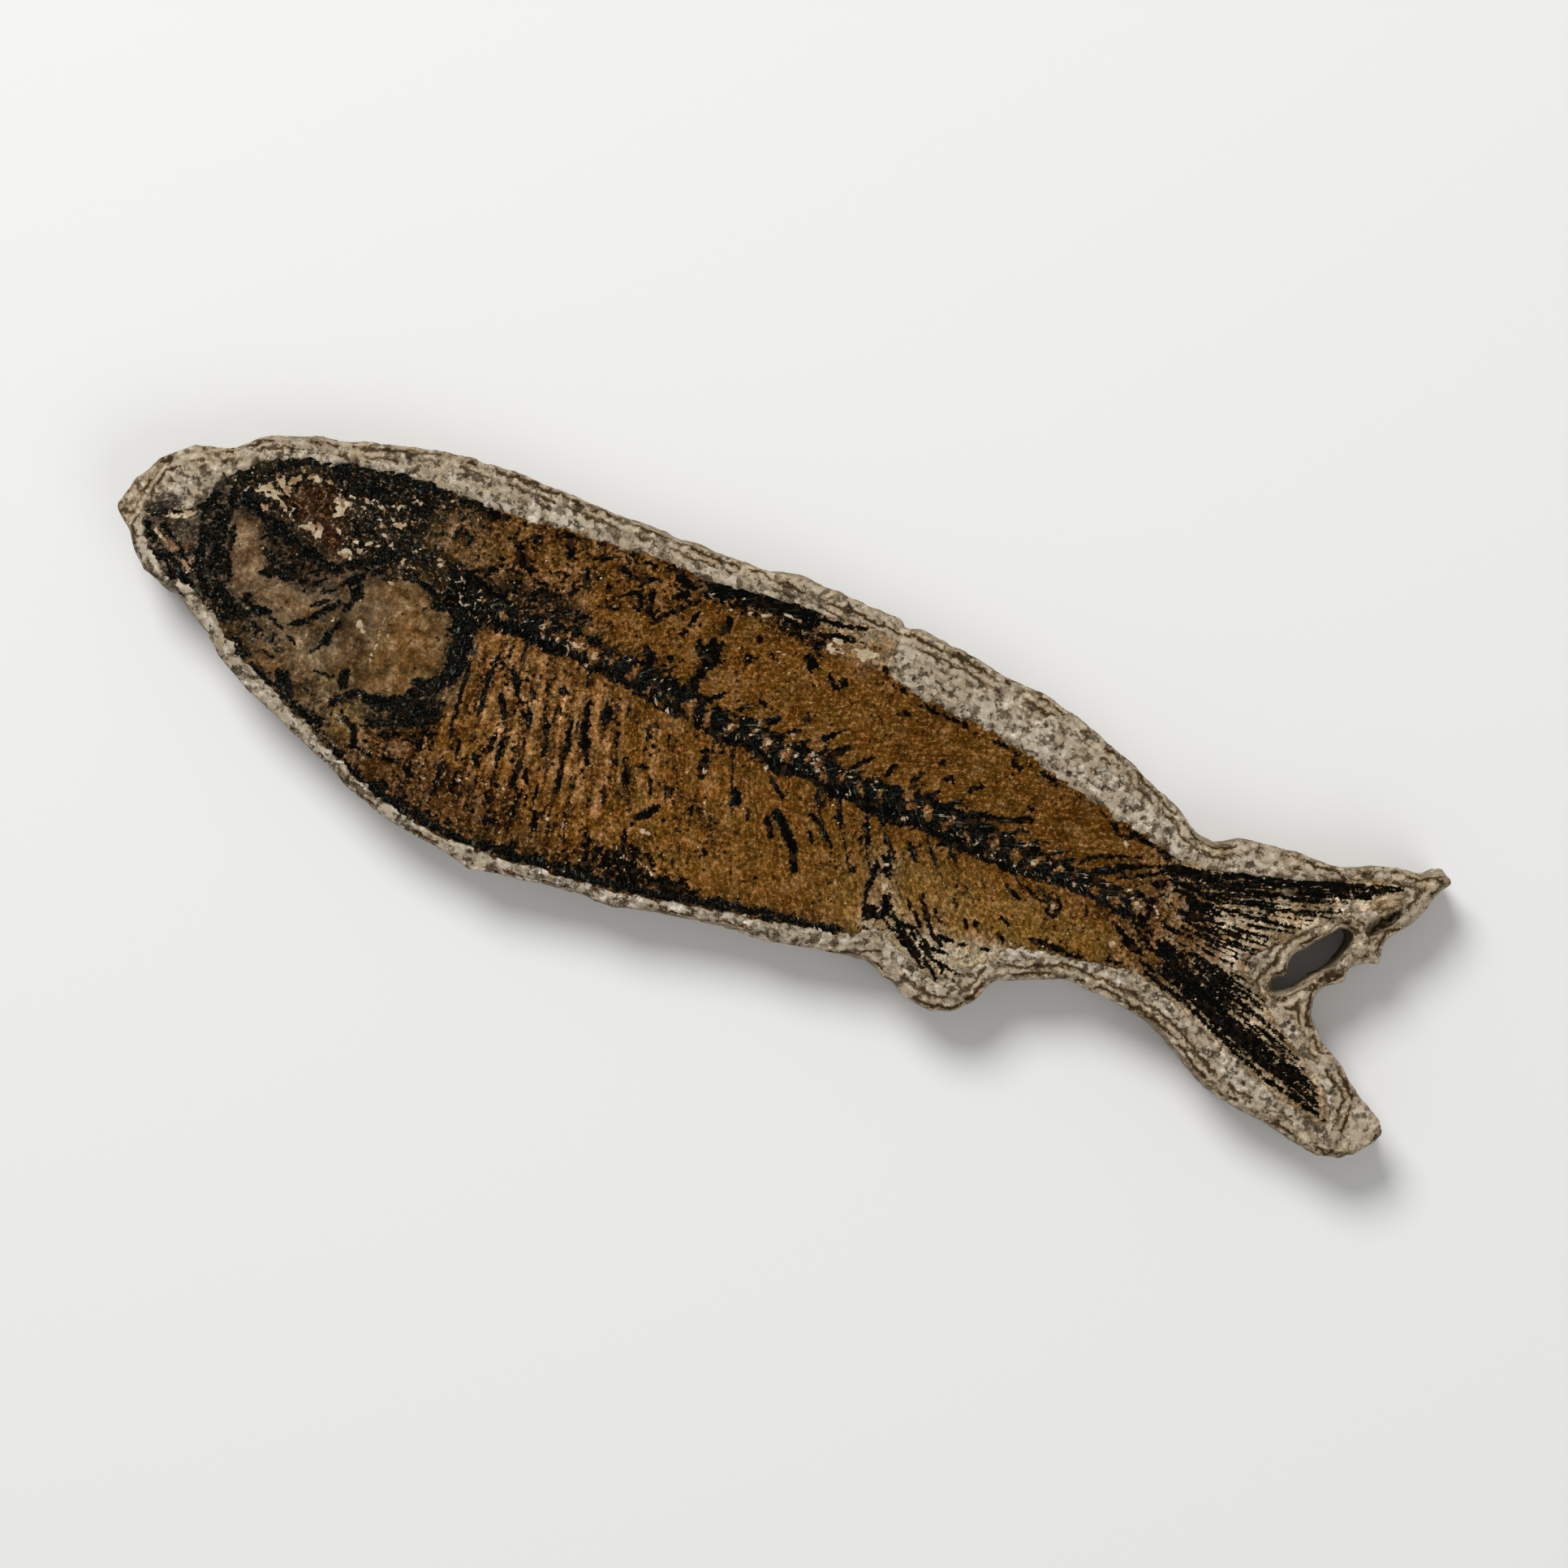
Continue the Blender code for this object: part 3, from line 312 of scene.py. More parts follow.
# Dark bone above the column: a width and the points of the mark.
BACK_MARKS = [
    (0.75, -29.4, 11, -28.6, 9.9, -27.6, 9.2), (0.9, -28.3, 12.4, -27.5, 12.2),
    (0.8, -25, 13.4, -24.5, 11.9), (0.7, -22.6, 11.4, -21.9, 9.8), (0.5, -22.4, 12.4, -20.6, 13.5),
    (0.6, -20, 12.8, -18.7, 12.4), (0.6, -18, 12.2, -16.2, 13.1), (0.35, -18.8, 10.3, -17, 11.5),
    (0.7, -17.2, 11, -16.8, 9.9), (0.6, -16.1, 11.6, -15.8, 10.4), (0.5, -15.7, 10.2, -15.2, 9.5),
    (0.55, -14.4, 12, -13.2, 12.8), (0.45, -15.2, 9.3, -13.6, 11.1, -11.9, 12.6),
    (0.8, -15.2, 9.2, -14.7, 9.6), (0.9, -12.4, 9.3, -12, 9.5), (0.8, -11.8, 10.4, -11.6, 11.5),
    (0.8, -14.7, 14.1, -13.1, 13.6), (0.5, -17.8, 14, -16.8, 14.2), (0.25, -33, 11.4, -31.7, 11.4),
    (0.6, -33.8, 10.1, -33.6, 9), (0.5, -19.6, 8.8, -18.6, 9.2), (0.4, -23.4, 13.2, -23.2, 12.7),
    (0.5, 4.7, 12.2, 4.8, 11.9), (1.1, -8.6, 11.9, -8.9, 10.7), (1.4, -9.3, 9.8, -9.2, 8.3),
    (1.2, -9.2, 7.9, -9.4, 6.3), (0.8, -8.6, 9.6, -8.7, 7.4), (1, -9.5, 6, -9.2, 4.6),
    (0.7, -10.5, 9.2, -10.1, 7.8), (0.7, -5.6, 11.6, -5.3, 11.3), (0.5, -4, 10.7, -3.2, 10.4),
    (0.6, -6, 9.9, -5.6, 9.2), (1.7, -0.5, 11.7, -0.4, 11),
    (0.55, 1.7, 11, 2.3, 10.2, 2.9, 10.1, 3.4, 10.9, 3.1, 11.3), (0.45, -3.2, 6.2, -2.5, 6),
    (0.8, -14.8, 7, -14, 6, -13.8, 5.2), (0.6, -12.5, 6.8, -12.3, 6.6),
    (0.5, -26.5, 7.2, -25.6, 8, -24.8, 7.4), (0.6, -31.5, 7.6, -30.2, 8.2), (0.5, -23.5, 8.6, -22.6, 9.3),
    (0.5, -27.4, 9, -26.7, 9.6), (0.5, -21.5, 6.9, -20.6, 7.4), (0.35, 10.5, 11.5, 13.3, 11.4),
    (0.4, 8.8, 10, 10.2, 10.6), (0.7, 14.5, 7.4, 14.6, 7.4), (0.4, 15, 5.8, 15.8, 6.6, 16.1, 6),
    (0.4, 17.7, 6, 18.7, 6.8), (0.7, 20.5, 9.9, 21.3, 9.8, 21.3, 9.6), (0.5, 23.3, 6.7, 23.6, 6.6),
    (0.5, 31, 8.3, 32, 7.5, 32.8, 7.6, 33.2, 8.2), (0.4, 0.2, 4.6, 1.5, 5.3), (0.45, 1, 6.2, 2, 6.4),
    (0.45, 3.5, 5.2, 4.5, 6.5), (0.6, 4, 3.6, 5.9, 5.4), (0.5, 7, 4, 8.3, 5.4),
    (0.5, 9.9, 4.3, 10.6, 5.6), (0.5, 12.3, 4.6, 13, 5.7), (0.6, 18.5, 4, 20, 4.4, 22.3, 4.9, 24, 5.6),
    (0.45, 22.3, 3.2, 23.4, 4.4), (0.45, 24.6, 3.2, 25.3, 4.1), (0.5, 26.3, 3.2, 27.6, 4),
    (0.5, 29.6, 3.8, 30.6, 4.8), (0.5, 30.8, 3.3, 33.5, 4.4), (0.4, 14.2, 3.9, 15.2, 4.9),
    (0.4, 16.4, 4, 17.4, 5), (0.4, -2, 4.4, -1, 5.4), (0.4, -5, 4.6, -4, 5.6),
    (0.4, -7.4, 4.7, -6.6, 5.7), (0.4, -12.6, 5.3, -11.6, 6.3), (0.4, 27.8, 3, 29, 4),
]
# Dark bone below the column.
BELLY_MARKS = [
    (0.4, -29.3, 0, -29, -4, -28.5, -7.5), (0.7, -25.3, 0.3, -24.6, -0.8, -24.2, -2),
    (0.7, -25.5, -2.5, -24.8, -3.4, -24.5, -4.5), (0.6, -22.6, -2.5, -22.1, -4),
    (0.3, -23.7, -6, -23.2, -11), (0.45, -27.5, -7.5, -27, -9.5), (0.5, -25.8, -8.2, -25, -9.2),
    (0.5, -21.5, -7.5, -21.3, -9.8), (0.45, -20.8, -7.8, -20.3, -9),
    (0.6, -20.7, -3, -20.2, -4.4, -19.6, -6.2), (0.55, -18.6, -2, -18.1, -4.5, -17.8, -6.5, -17.4, -8.8),
    (0.7, -17.5, -1.6, -16.6, -3.4, -15.8, -5.4), (0.3, -17.9, 0.2, -17.5, -1.4),
    (0.9, -16, 0.2, -15.5, -1.3), (0.6, -12.8, -3.5, -12.2, -4.2, -11.8, -5.3),
    (0.5, -11, -3.3, -10.9, -3.6), (0.35, -10, -4.2, -9.3, -5.5), (0.4, -8, -4.2, -7.6, -4.9),
    (0.7, -9.8, -8, -8.9, -7.4, -8.3, -6.2), (0.75, -6.2, 0.2, -5.9, -0.8, -5.6, -2.4),
    (0.7, -2.3, -2, -1.6, -2.9, -2.3, -3.5), (0.4, -0.5, -3.3, -0.1, -4.2), (0.5, 1.4, -3.4, 2.4, -4.9),
    (0.9, 2, -2.6, 3.5, -3.9, 4.4, -5, 5.6, -7), (0.4, -5.5, -5, -5.2, -5.8), (0.4, -13.4, -6.5, -13, -8),
    (0.5, -2.8, -8.5, -2.7, -8.7), (0.5, 2.5, -9, 2.7, -9), (0.4, -10.3, -9.5, -10, -10.5),
    (0.45, 0.3, 0.2, 2.2, -1.3), (0.4, 4.6, 0.2, 5.4, -0.5), (0.45, 5, -1.5, 6, -2),
    (0.45, 6.2, -2.3, 8, -3.6), (0.5, 5.6, -3.3, 6.1, -4), (0.45, 7, 0, 8.2, -1.6),
    (0.45, 9.8, 0, 10.3, -1, 11, -2.4), (0.45, 12, -0.6, 13.3, -2), (0.45, 14.3, -0.5, 15.6, -1.8),
    (0.45, 16.8, -0.7, 17.7, -1.6), (0.4, 18.2, 0.3, 19, -0.4), (0.4, 24, -0.6, 25.7, -1.6),
    (0.4, 26, -0.2, 27.5, -0.9), (0.7, 10.5, -4.8, 10.6, -4.8), (0.35, 17.2, -4.7, 18.3, -6, 19.4, -7.2),
    (0.3, 16.1, -5.2, 17.1, -6.4), (0.4, 19, -5.3, 20, -6.2), (0.4, 17.3, -6.2, 18.3, -7.3),
    (0.35, 20, -3.7, 20.8, -4.3), (0.4, 21.6, -5, 22.3, -5.9), (0.35, 22.5, -4.7, 23.3, -5.7),
    (0.4, 24.8, -3.6, 25.7, -4.1), (0.35, 25, -5, 25.8, -5.5), (0.4, 28, -4.4, 31.4, -4.3),
    (0.3, 28.4, -0.3, 28.5, -1.6, 29.3, -1.7, 29.5, -0.4, 28.4, -0.3), (0.6, -18.4, -11, -18, -13),
    (0.4, -16.4, -11.3, -16.3, -12.3), (0.4, -20.5, -9.5, -20.2, -13.5),
    (0.7, -23.3, -11.5, -22.8, -11.9), (0.7, -22, -13.3, -21.4, -13.6), (0.8, -31, -12.1, -30.3, -12.5),
    (0.5, 0.2, -12.3, 3, -11.9), (0.5, 3, -12, 5.3, -11.3), (0.5, 5.8, -11.2, 7.5, -11.3, 9.2, -11),
    (0.5, 9, -11, 11.7, -10.3),
    (0.6, -37.6, -13, -34, -14.6, -30, -15.6, -24, -16, -17, -15.4, -10, -14.6, -4, -13.6, 1, -12.5),
    (0.4, -27.3, 0.5, -27, -2.6, -26.7, -5), (0.4, -26.6, -10.6, -26.2, -12.6),
    (0.4, -28.4, -9.6, -28, -12), (0.4, -24.6, -5.4, -24.4, -7.6), (0.35, -19.2, -8.6, -18.9, -10.4),
]
# Dark bone of the fins and the tail.
FIN_MARKS = [
    (0.8, -12, 14.5, -8, 15, -4, 15.1, -1.2, 15.3), (0.5, -1.2, 15.3, 1.4, 15.6, 3.4, 16.1),
    (0.75, -0.8, 14, 0.4, 14.3, 2.5, 14.65), (0.25, 2.9, 14.75, 3.8, 14.8), (0.25, 4.2, 14.8, 5, 14.9),
    (0.35, -0.6, 13.2, 2, 12.9), (0.8, 12.3, -3.4, 12.6, -4.8), (0.55, 12.6, -4.8, 12.5, -6, 12.8, -7.2),
    (0.9, 12.8, -2.9, 13.6, -2.6), (0.9, 13.3, -3.5, 13.9, -4.2), (0.5, 14.2, -4.6, 14.6, -5.6),
    (0.9, 14.2, -5.8, 14.6, -7, 15, -7.6), (1.5, 13.2, -7.7, 14.2, -7.9),
    (0.3, 14.6, -5.8, 15.6, -7.2, 16.8, -7.8), (0.5, 15.2, -7.3, 16.7, -7.7, 18, -7.6),
    (0.3, 14.6, -7.7, 16.7, -8.9, 19.8, -10.6), (0.7, 16.2, -7.8, 17.2, -8.6, 18.3, -9.3, 19.4, -9.9),
    (0.3, 19.6, -9.8, 21.2, -10.9, 21.6, -11.4), (0.4, 20.2, -7.4, 21.5, -7.3),
    (0.3, 17.8, -8.2, 18.9, -8.8, 20.2, -9.5, 21.5, -9.9, 23.6, -10), (0.25, 21.6, -9.4, 21.7, -10.6),
    (0.4, 18.2, -7.8, 19.1, -8.4, 19.9, -8.8, 21.5, -8.7), (0.4, 19.4, -7.5, 20.8, -8.2),
    (0.35, 22, -7.4, 23, -7.3), (0.35, 23.8, -7.1, 24.8, -6.9), (0.4, 38, 6.9, 42, 7.5, 45.4, 8.3),
    (0.6, 45, 8.5, 47.6, 9.2), (0.5, 48.2, 9.5, 50.6, 10.2), (0.6, 51.2, 10.5, 53.6, 11.2),
    (0.5, 54.2, 11.4, 55.6, 12), (0.4, 56, 12.1, 57, 12.3), (0.5, 38, 6, 46, 7.4, 54, 9.7),
    (0.45, 40, 5.5, 47, 6.4, 53, 7.9), (0.4, 40, 4.6, 46, 5.1, 52, 6.2), (0.45, 40, 3.4, 44, 3.6, 48, 4),
    (0.35, 40, 2.6, 47, 2.3), (0.35, 40.5, 1.9, 45, 1.6), (0.3, 42, 0.9, 46, 0.5),
    (0.4, 42, 6.7, 48, 8.1, 55.6, 10.9), (0.35, 44, 5.9, 50, 7.3, 53.6, 8.8),
    (0.35, 42, 4.1, 47, 4.6, 50.5, 5.4), (0.3, 41.5, 3, 46, 3, 48.8, 3.3),
    (0.5, 38, -1, 48, -2.5, 53, -3.9), (0.45, 40, -2, 50, -3.2), (0.45, 42, -3, 55, -5.6),
    (0.5, 44, -4, 58, -7.5), (0.45, 46, -5.5, 58, -8.3), (0.5, 48, -6.3, 53, -8, 57, -9, 59.5, -9.6),
    (0.9, 46.5, -5, 50, -5.4), (0.4, 41, -0.6, 46, -1.4, 50.6, -2.4),
    (0.4, 43, -2.1, 49, -3.6, 54.4, -4.9), (0.4, 47, -4.2, 53, -5.8, 57.6, -6.9),
    (0.6, 39, -3.2, 43, -4.3, 47.5, -6), (0.35, 30.4, 3.2, 32.3, 4.5, 34.2, 5.4, 37.2, 6.5),
    (0.35, 31.3, 3.6, 33.2, 4.6, 35.2, 5.7), (0.35, 33.4, 3.7, 35.6, 5, 37.4, 6.2),
    (0.3, 30, 4.6, 32, 5.4, 34.6, 6.4), (0.3, 34.8, 3.6, 36.4, 4.6), (1.1, 36.7, 4.6, 37.6, 5),
    (1.2, 37.2, 6.2, 40.1, 6.7, 42, 7.2), (0.8, 38, 5.5, 40.5, 5.6, 43, 5.2), (1.2, 40.4, 4.5, 43.2, 4.3),
    (0.5, 41, 3.5, 46, 3.7, 48.5, 3.9), (0.4, 40.1, 2.6, 41.8, 2.4),
    (0.4, 35.6, 2.6, 37.4, 2.1, 38.6, 1.5, 40.5, 1.3, 42.4, 1.3), (0.6, 34.6, 0.9, 37, 0.6, 38.4, 0.1),
    (0.35, 40.5, 0.5, 41.8, 0.4), (1.7, 39.6, -0.4, 40.8, -1), (0.45, 41.8, -0.1, 46.4, -0.3, 48, -0.5),
    (0.9, 35, -0.4, 36.4, -1.4, 38, -1.7), (0.5, 38.2, -2.4, 39.8, -2.9), (0.7, 35.4, 3.2, 36.2, 3),
    (1, 40.5, -1.8, 43.7, -3, 46.8, -4.7), (0.9, 40, 3.3, 42, 3.1), (0.7, 36.8, 3.4, 37.6, 3),
    (0.4, 36.6, 0.1, 38.6, -0.8), (0.35, 35.8, 1.4, 38, 1.3), (0.4, 38.6, 4.7, 40.2, 5),
]
# Dark bone of the head: lines round the jaws, cheek, gills and girdle.
HEAD_MARKS = [
    (0.9, -57, 4.6, -57, 2, -56.2, 0, -55.8, -2, -54.6, -3.6), (0.6, -56, 4, -55, 2, -54.5, 0, -54, -2),
    (0.5, -50.1, 8.5, -49.9, 6.8, -49.2, 5.6), (0.4, -46.5, 8.6, -46.4, 6.6), (0.4, -51.4, 5.6, -50.4, 6),
    (0.4, -49.6, 8.8, -47.8, 9), (0.5, -44.2, 7.4, -43.4, 6.4), (0.4, -46.6, 5.6, -47.8, 5.3),
    (0.5, -61.8, 0, -60, -1.3, -57, -3.3, -55.5, -4), (0.45, -61.5, 0.8, -60.3, 1.8),
    (0.4, -61.6, -0.4, -59.6, -2.2, -57.4, -3.9), (0.45, -60.8, 1.2, -58.6, 2.4, -57.6, 3.2),
    (0.5, -60.2, 0.1, -58.2, -0.9, -56.4, -2.4), (1.2, -54, 5.4, -52, 4.6), (1.4, -51.8, 4.4, -49.6, 3.8),
    (1.3, -49.9, 3.7, -47.6, 3.1), (1.2, -47.6, 3.1, -45, 2.7), (1.1, -45.2, 2.3, -43.4, 2.6),
    (1.1, -43.6, 3.1, -41.4, 4), (0.8, -41.6, 4.4, -40, 5), (0.4, -54.2, 3.2, -53.8, 1.6, -53.7, 0.4),
    (0.7, -53.7, 0, -52.6, -2.2), (1.3, -53.6, -2.9, -51.8, -3.8), (0.9, -51.6, -4.2, -50.2, -4.6),
    (1, -50.5, -2.9, -50.1, -3.5), (0.9, -49.6, -3.7, -47.9, -3.6), (0.4, -47.8, -4, -46.4, -4.4),
    (0.7, -45.8, -3.8, -44.6, -2.9), (0.8, -44.6, -2.8, -43.6, -1.7), (0.6, -43.6, -1.4, -42.6, -0.2),
    (0.3, -51.2, 2.1, -50.2, 1.4, -49.2, 1.2), (0.4, -51.6, 2.4, -50.8, 3.2, -49.8, 2.6),
    (0.35, -50.8, 1.5, -49.4, 0.9), (0.5, -48.2, 2.6, -46.8, 1.4), (0.5, -46, 1.6, -43.6, 2.6),
    (0.4, -45.4, 0.4, -44.4, 1.3), (0.35, -49.2, 3.6, -47.2, 3), (0.4, -44.2, 0, -42.6, 1.6),
    (0.3, -44.8, -1.6, -43.4, -0.2), (0.9, -50.4, -0.4, -49.2, 0.2), (0.9, -48.6, 0, -47, 0.6),
    (0.6, -48.8, 0.9, -47.6, 1.3), (0.5, -48, 0.8, -46, 0.2), (1.2, -41.6, 0.8, -41.2, 1.7),
    (0.6, -41.5, 0.3, -41.9, -0.8), (0.35, -43.3, -5.3, -42.6, -4.5), (0.8, -42.5, -4.2, -42.1, -3),
    (0.5, -42.1, -2.8, -41.8, -1.9), (0.3, -42.3, -6.9, -40.4, -6.7), (1.2, -39.5, -6, -39.3, -7.4),
    (1.3, -45.1, -8.2, -44, -9.6), (0.8, -44.2, -9, -43.4, -10.2), (0.35, -43.2, -10.3, -41, -10.9),
    (1.1, -40.4, -10.8, -39.9, -11.2), (0.4, -48, -8.8, -45.5, -9.5), (0.6, -50.3, -8, -49, -8.3),
    (1.1, -52.4, -4.4, -51, -5.2), (0.7, -54.2, -3.6, -53, -4.4), (0.4, -49.2, -4.9, -48, -5.3),
    (0.3, -45.6, -4.9, -44.5, -5.3), (0.5, -50.4, -6.6, -49.4, -7.1), (0.35, -47.2, -6.9, -46.2, -7.3),
    (0.9, -39.9, -9.2, -39.2, -8.2), (0.8, -38.9, -7.9, -37.2, -7.1), (1.1, -37, -7.4, -35.2, -7),
    (1, -35, -7.2, -33.6, -6.2), (0.9, -33.4, -5.4, -32.2, -4.8), (0.8, -33.6, -4.4, -32.4, -4),
    (1.2, -30.7, 3.4, -30.4, 1.2), (0.9, -30.2, 1.4, -29.9, -1), (0.9, -29.9, -0.6, -30.1, -3),
    (1.1, -30.7, -2.6, -31.5, -4.8), (0.8, -31.6, -5.4, -33.2, -6.4), (0.9, -33.6, -6.8, -35.6, -7.4),
    (0.9, -31.5, 3, -31.3, 1), (0.8, -31.2, 0.6, -31.1, -2), (0.6, -31.7, -3, -32.8, -4.6),
    (0.9, -31.2, -6.4, -32.6, -8.2), (0.8, -30.2, -5.6, -30.6, -7.4), (0.7, -33.8, -8.6, -36, -9.2),
    (0.5, -34.2, -7.6, -33.2, -9.4), (0.6, -56, 7.2, -54.4, 8.2),
    (0.7, -52.6, 9.4, -51, 10.2, -49.8, 10.9), (0.8, -48.6, 11.3, -46.4, 11.8),
    (0.5, -45.2, 12.2, -43.4, 12.3), (0.9, -42.2, 12.2, -39.5, 12.6), (0.5, -38.4, 12.9, -36.6, 12.5),
    (0.4, -34.8, 13.1, -32.6, 13.3), (0.6, -47.4, 10.4, -45.6, 10.6), (0.7, -43.6, 10.2, -42.4, 11),
    (0.8, -42.5, 1.9, -41.4, 2.8), (0.5, -40.6, 3.4, -39.8, 4.2),
    (0.7, -55.6, 6.4, -55.2, 4.8, -54.8, 3.2), (0.7, -52.6, 8.9, -53.4, 7.2, -54.2, 5.8),
    (0.6, -37.8, 4.4, -35.6, 4.2, -33.2, 3.4), (0.6, -38.4, -9.4, -36.6, -10.6, -36.4, -12),
]
# Every dark mark is drawn this much wider, and this strongly. Those of the belly are broader.
MARK_WIDTH, MARK_SPREAD, MARK_STRENGTH, BELLY_BROADER = 0.88, 0.04, 1.05, 1.1

# Areas where dark bone is broken up into a mottle: how much of it is left, then the outline.
MOTTLED = [
    (0.45, -56, 7.4, -53.4, 9, -50, 11.1, -44, 12.3, -38, 13.1, -35.4, 12.9, -36, 9, -34, 7.4, -33, 4.8,
     -38, 4.2, -41, 4.8, -44, 4.2, -44.6, 9, -48, 10.2, -51, 9.6, -53, 8, -54, 5.8, -56, 5.6),
    (0.36, -37, 13.2, -26, 13.8, -14, 14.6, -12, 12.6, -14, 9.6, -22, 9, -30, 6.6, -35, 6.4),
    (0.4, -33, 8.4, -27, 9.4, -22, 8.4, -20, 6.6, -14, 6.4, -8, 5, -33, 5.6),
    (0.95, -12.4, 14.2, -8, 15.3, -5, 15.8, -2, 16.1, -1, 15.8, -1.2, 13.6, -5, 13.8, -8, 14, -11, 14),
    (0.58, -12.4, 14.2, -4, 14.2, -0.8, 13.9, 2, 12.9, 0, 12.4, -6, 12.8, -12, 12.8),
    (0.58, -13.4, -10.6, -12, -11.3, -10.5, -10.6, -9, -10.1, -7.2, -10.5, -5.8, -11.8, 0, -12, 4, -11.6,
     1, -12.6, -4, -14, -8, -14.2, -12, -15, -14, -14.4, -13.8, -12.6),
    (0.5, -36, -13, -28, -14.4, -20, -14.5, -14, -13.8, -13, -15.6, -20, -16.2, -28, -16, -36, -14.2),
    (0.54, -36.6, -7.2, -33.6, -6.2, -31.6, -4.6, -29.6, -4.6, -29.4, -9, -30.4, -10.4, -33, -10.8, -36.2,
     -10.2), (0.34, -36, -10.4, -29, -8, -20, -9.4, -14, -10, -14, -13.6, -28, -14, -36, -13.6, -37, -11),
    (0.33, 32, 6, 37, 8, 42, 7.4, 43, 3, 42, -1, 40, -3.2, 36, -2.4, 32, -0.6, 31, 3),
    (0.42, -54.6, -3.6, -52, -3.4, -49, -4.4, -46, -5, -44, -6, -46, -7, -50, -6.6, -53, -5.6),
    (0.28, -50, -7.4, -44, -6.4, -40, -7.4, -38, -9, -37, -12.4, -40, -12.4, -46, -10, -50, -8.6),
    (0.4, -62, 1, -60, 1.9, -57.8, 2.6, -56.6, 0.4, -55.6, -3.4, -57.8, -3.8, -60.2, -3),
    (0.56, -57.4, 4.4, -56, 5.4, -54.6, 3, -53.8, -0.6, -52.2, -3.2, -54, -4, -55.8, -1.4, -57.2, 1.6),
    (0.36, -51.6, 2.9, -46, 2.5, -42.2, 3, -41, 1.4, -43, 0.2, -46.6, -1, -50.4, -0.2, -51, 1.2),
    (0.68, -32.8, 3.4, -29.4, 3.4, -29.5, -1, -30.2, -4, -32, -5.4, -33.2, -4.8, -31.6, -2, -31.6, 0.6,
     -32.4, 1.8), (0.32, -33, 2.6, -24, 2.6, -23, -4, -24.6, -9, -29, -9.6, -29, -2),
    (0.38, -17, -9.5, -15.5, -13.6, -20, -14, -24, -13.6, -25, -10),
    (0.2, 14.6, -6.8, 20, -6.9, 26, -6.1, 26, -7, 21, -7.7, 15.4, -7.9),
]
# Pale calcite and bare matrix showing through: a width, then the points of the mark.
PALE_MARKS = [
    (0.3, -21.4, 4.6, -19.6, 4.4), (0.5, 32.4, 7.1, 32.6, 7), (0.35, -5.7, -1.5, -5.6, -1.7),
    (0.2, -4.9, -3.2, -4.8, -3.5), (0.2, -4.5, -4.2, -4.4, -4.5), (0.2, -4.1, -5, -4, -5.3),
    (0.4, -9, -8.9, -8, -8.9), (0.35, -8, -11.6, -6.2, -12.3), (0.4, -7.3, 13.4, -7, 13.4),
    (0.4, -5.8, 13.6, -5.6, 13.6), (0.2, -4.6, 14.55, -2.2, 14.5), (0.35, 0.9, 14, 1.6, 14.1),
    (0.6, 0.5, 13.4, 2, 13.5), (0.9, 2.8, 14.2, 5.2, 13.8), (0.3, 12.6, -3.4, 13.3, -3.1),
    (0.4, 13.6, -4.6, 14.1, -5.5), (0.4, 44, 4.2, 45.6, 4.3), (0.3, 47.6, 3.4, 48.6, 3.4),
    (0.5, 46, 0.2, 49.5, 1.3), (0.7, 56.5, 11.2, 58.3, 12.2), (0.4, 38.3, -3.5, 38.6, -3.4),
    (0.4, 35, -2, 35.3, -2), (0.22, -49.4, 9.2, -47, 9.6, -44.6, 9.1), (1.1, -46.5, 8.5, -45, 8.6),
    (0.9, -45.4, 8.2, -46.1, 7.2), (0.5, -46.1, 7, -46.7, 6), (0.9, -48.6, 5, -47.3, 4.7),
    (0.7, -47.3, 5.5, -47.1, 4.3), (0.5, -49.8, 5.2, -48.6, 4.6), (1, -53, 6.8, -51.6, 7),
    (0.8, -51.8, 6.6, -50.5, 5.7), (0.6, -51.6, 8.1, -50.4, 8.6), (0.5, -51.2, 7.6, -50.6, 7.3),
    (0.5, -45.3, 5.8, -44.8, 5.4), (0.6, -44.3, 4.2, -43.1, 4), (0.4, -43.5, 5.1, -43.1, 5.6),
    (0.4, -42.2, 5.8, -41.8, 5.9), (0.4, -41.2, 7, -40.6, 7.1), (0.4, -41, 8.8, -39.8, 8.4),
    (0.3, -42.4, 9.4, -41.2, 9), (0.3, -44, 9.6, -43.6, 9.3), (0.6, -60, 1.5, -58.2, 2),
    (0.6, -40.5, -1.3, -39.8, -1.7), (0.35, -39, 3.3, -38.8, 3.2), (0.3, -37.2, -1.3, -37.1, -1.5),
    (0.15, -38.2, 1.5, -37.8, -4.5), (0.3, -51.3, 2, -50.9, 1.8), (0.4, -37.6, 9.2, -37.4, 9.4),
    (0.3, -35.6, 7, -35.4, 6.9), (0.3, 28.8, -1, 29, -1), (0.5, -49.6, 9, -48.6, 9.4),
    (0.4, -52.4, 5.4, -51.6, 5.2), (0.3, -61, -0.2, -59, -1.4), (0.3, -57.4, -2, -56.6, -2.8),
]
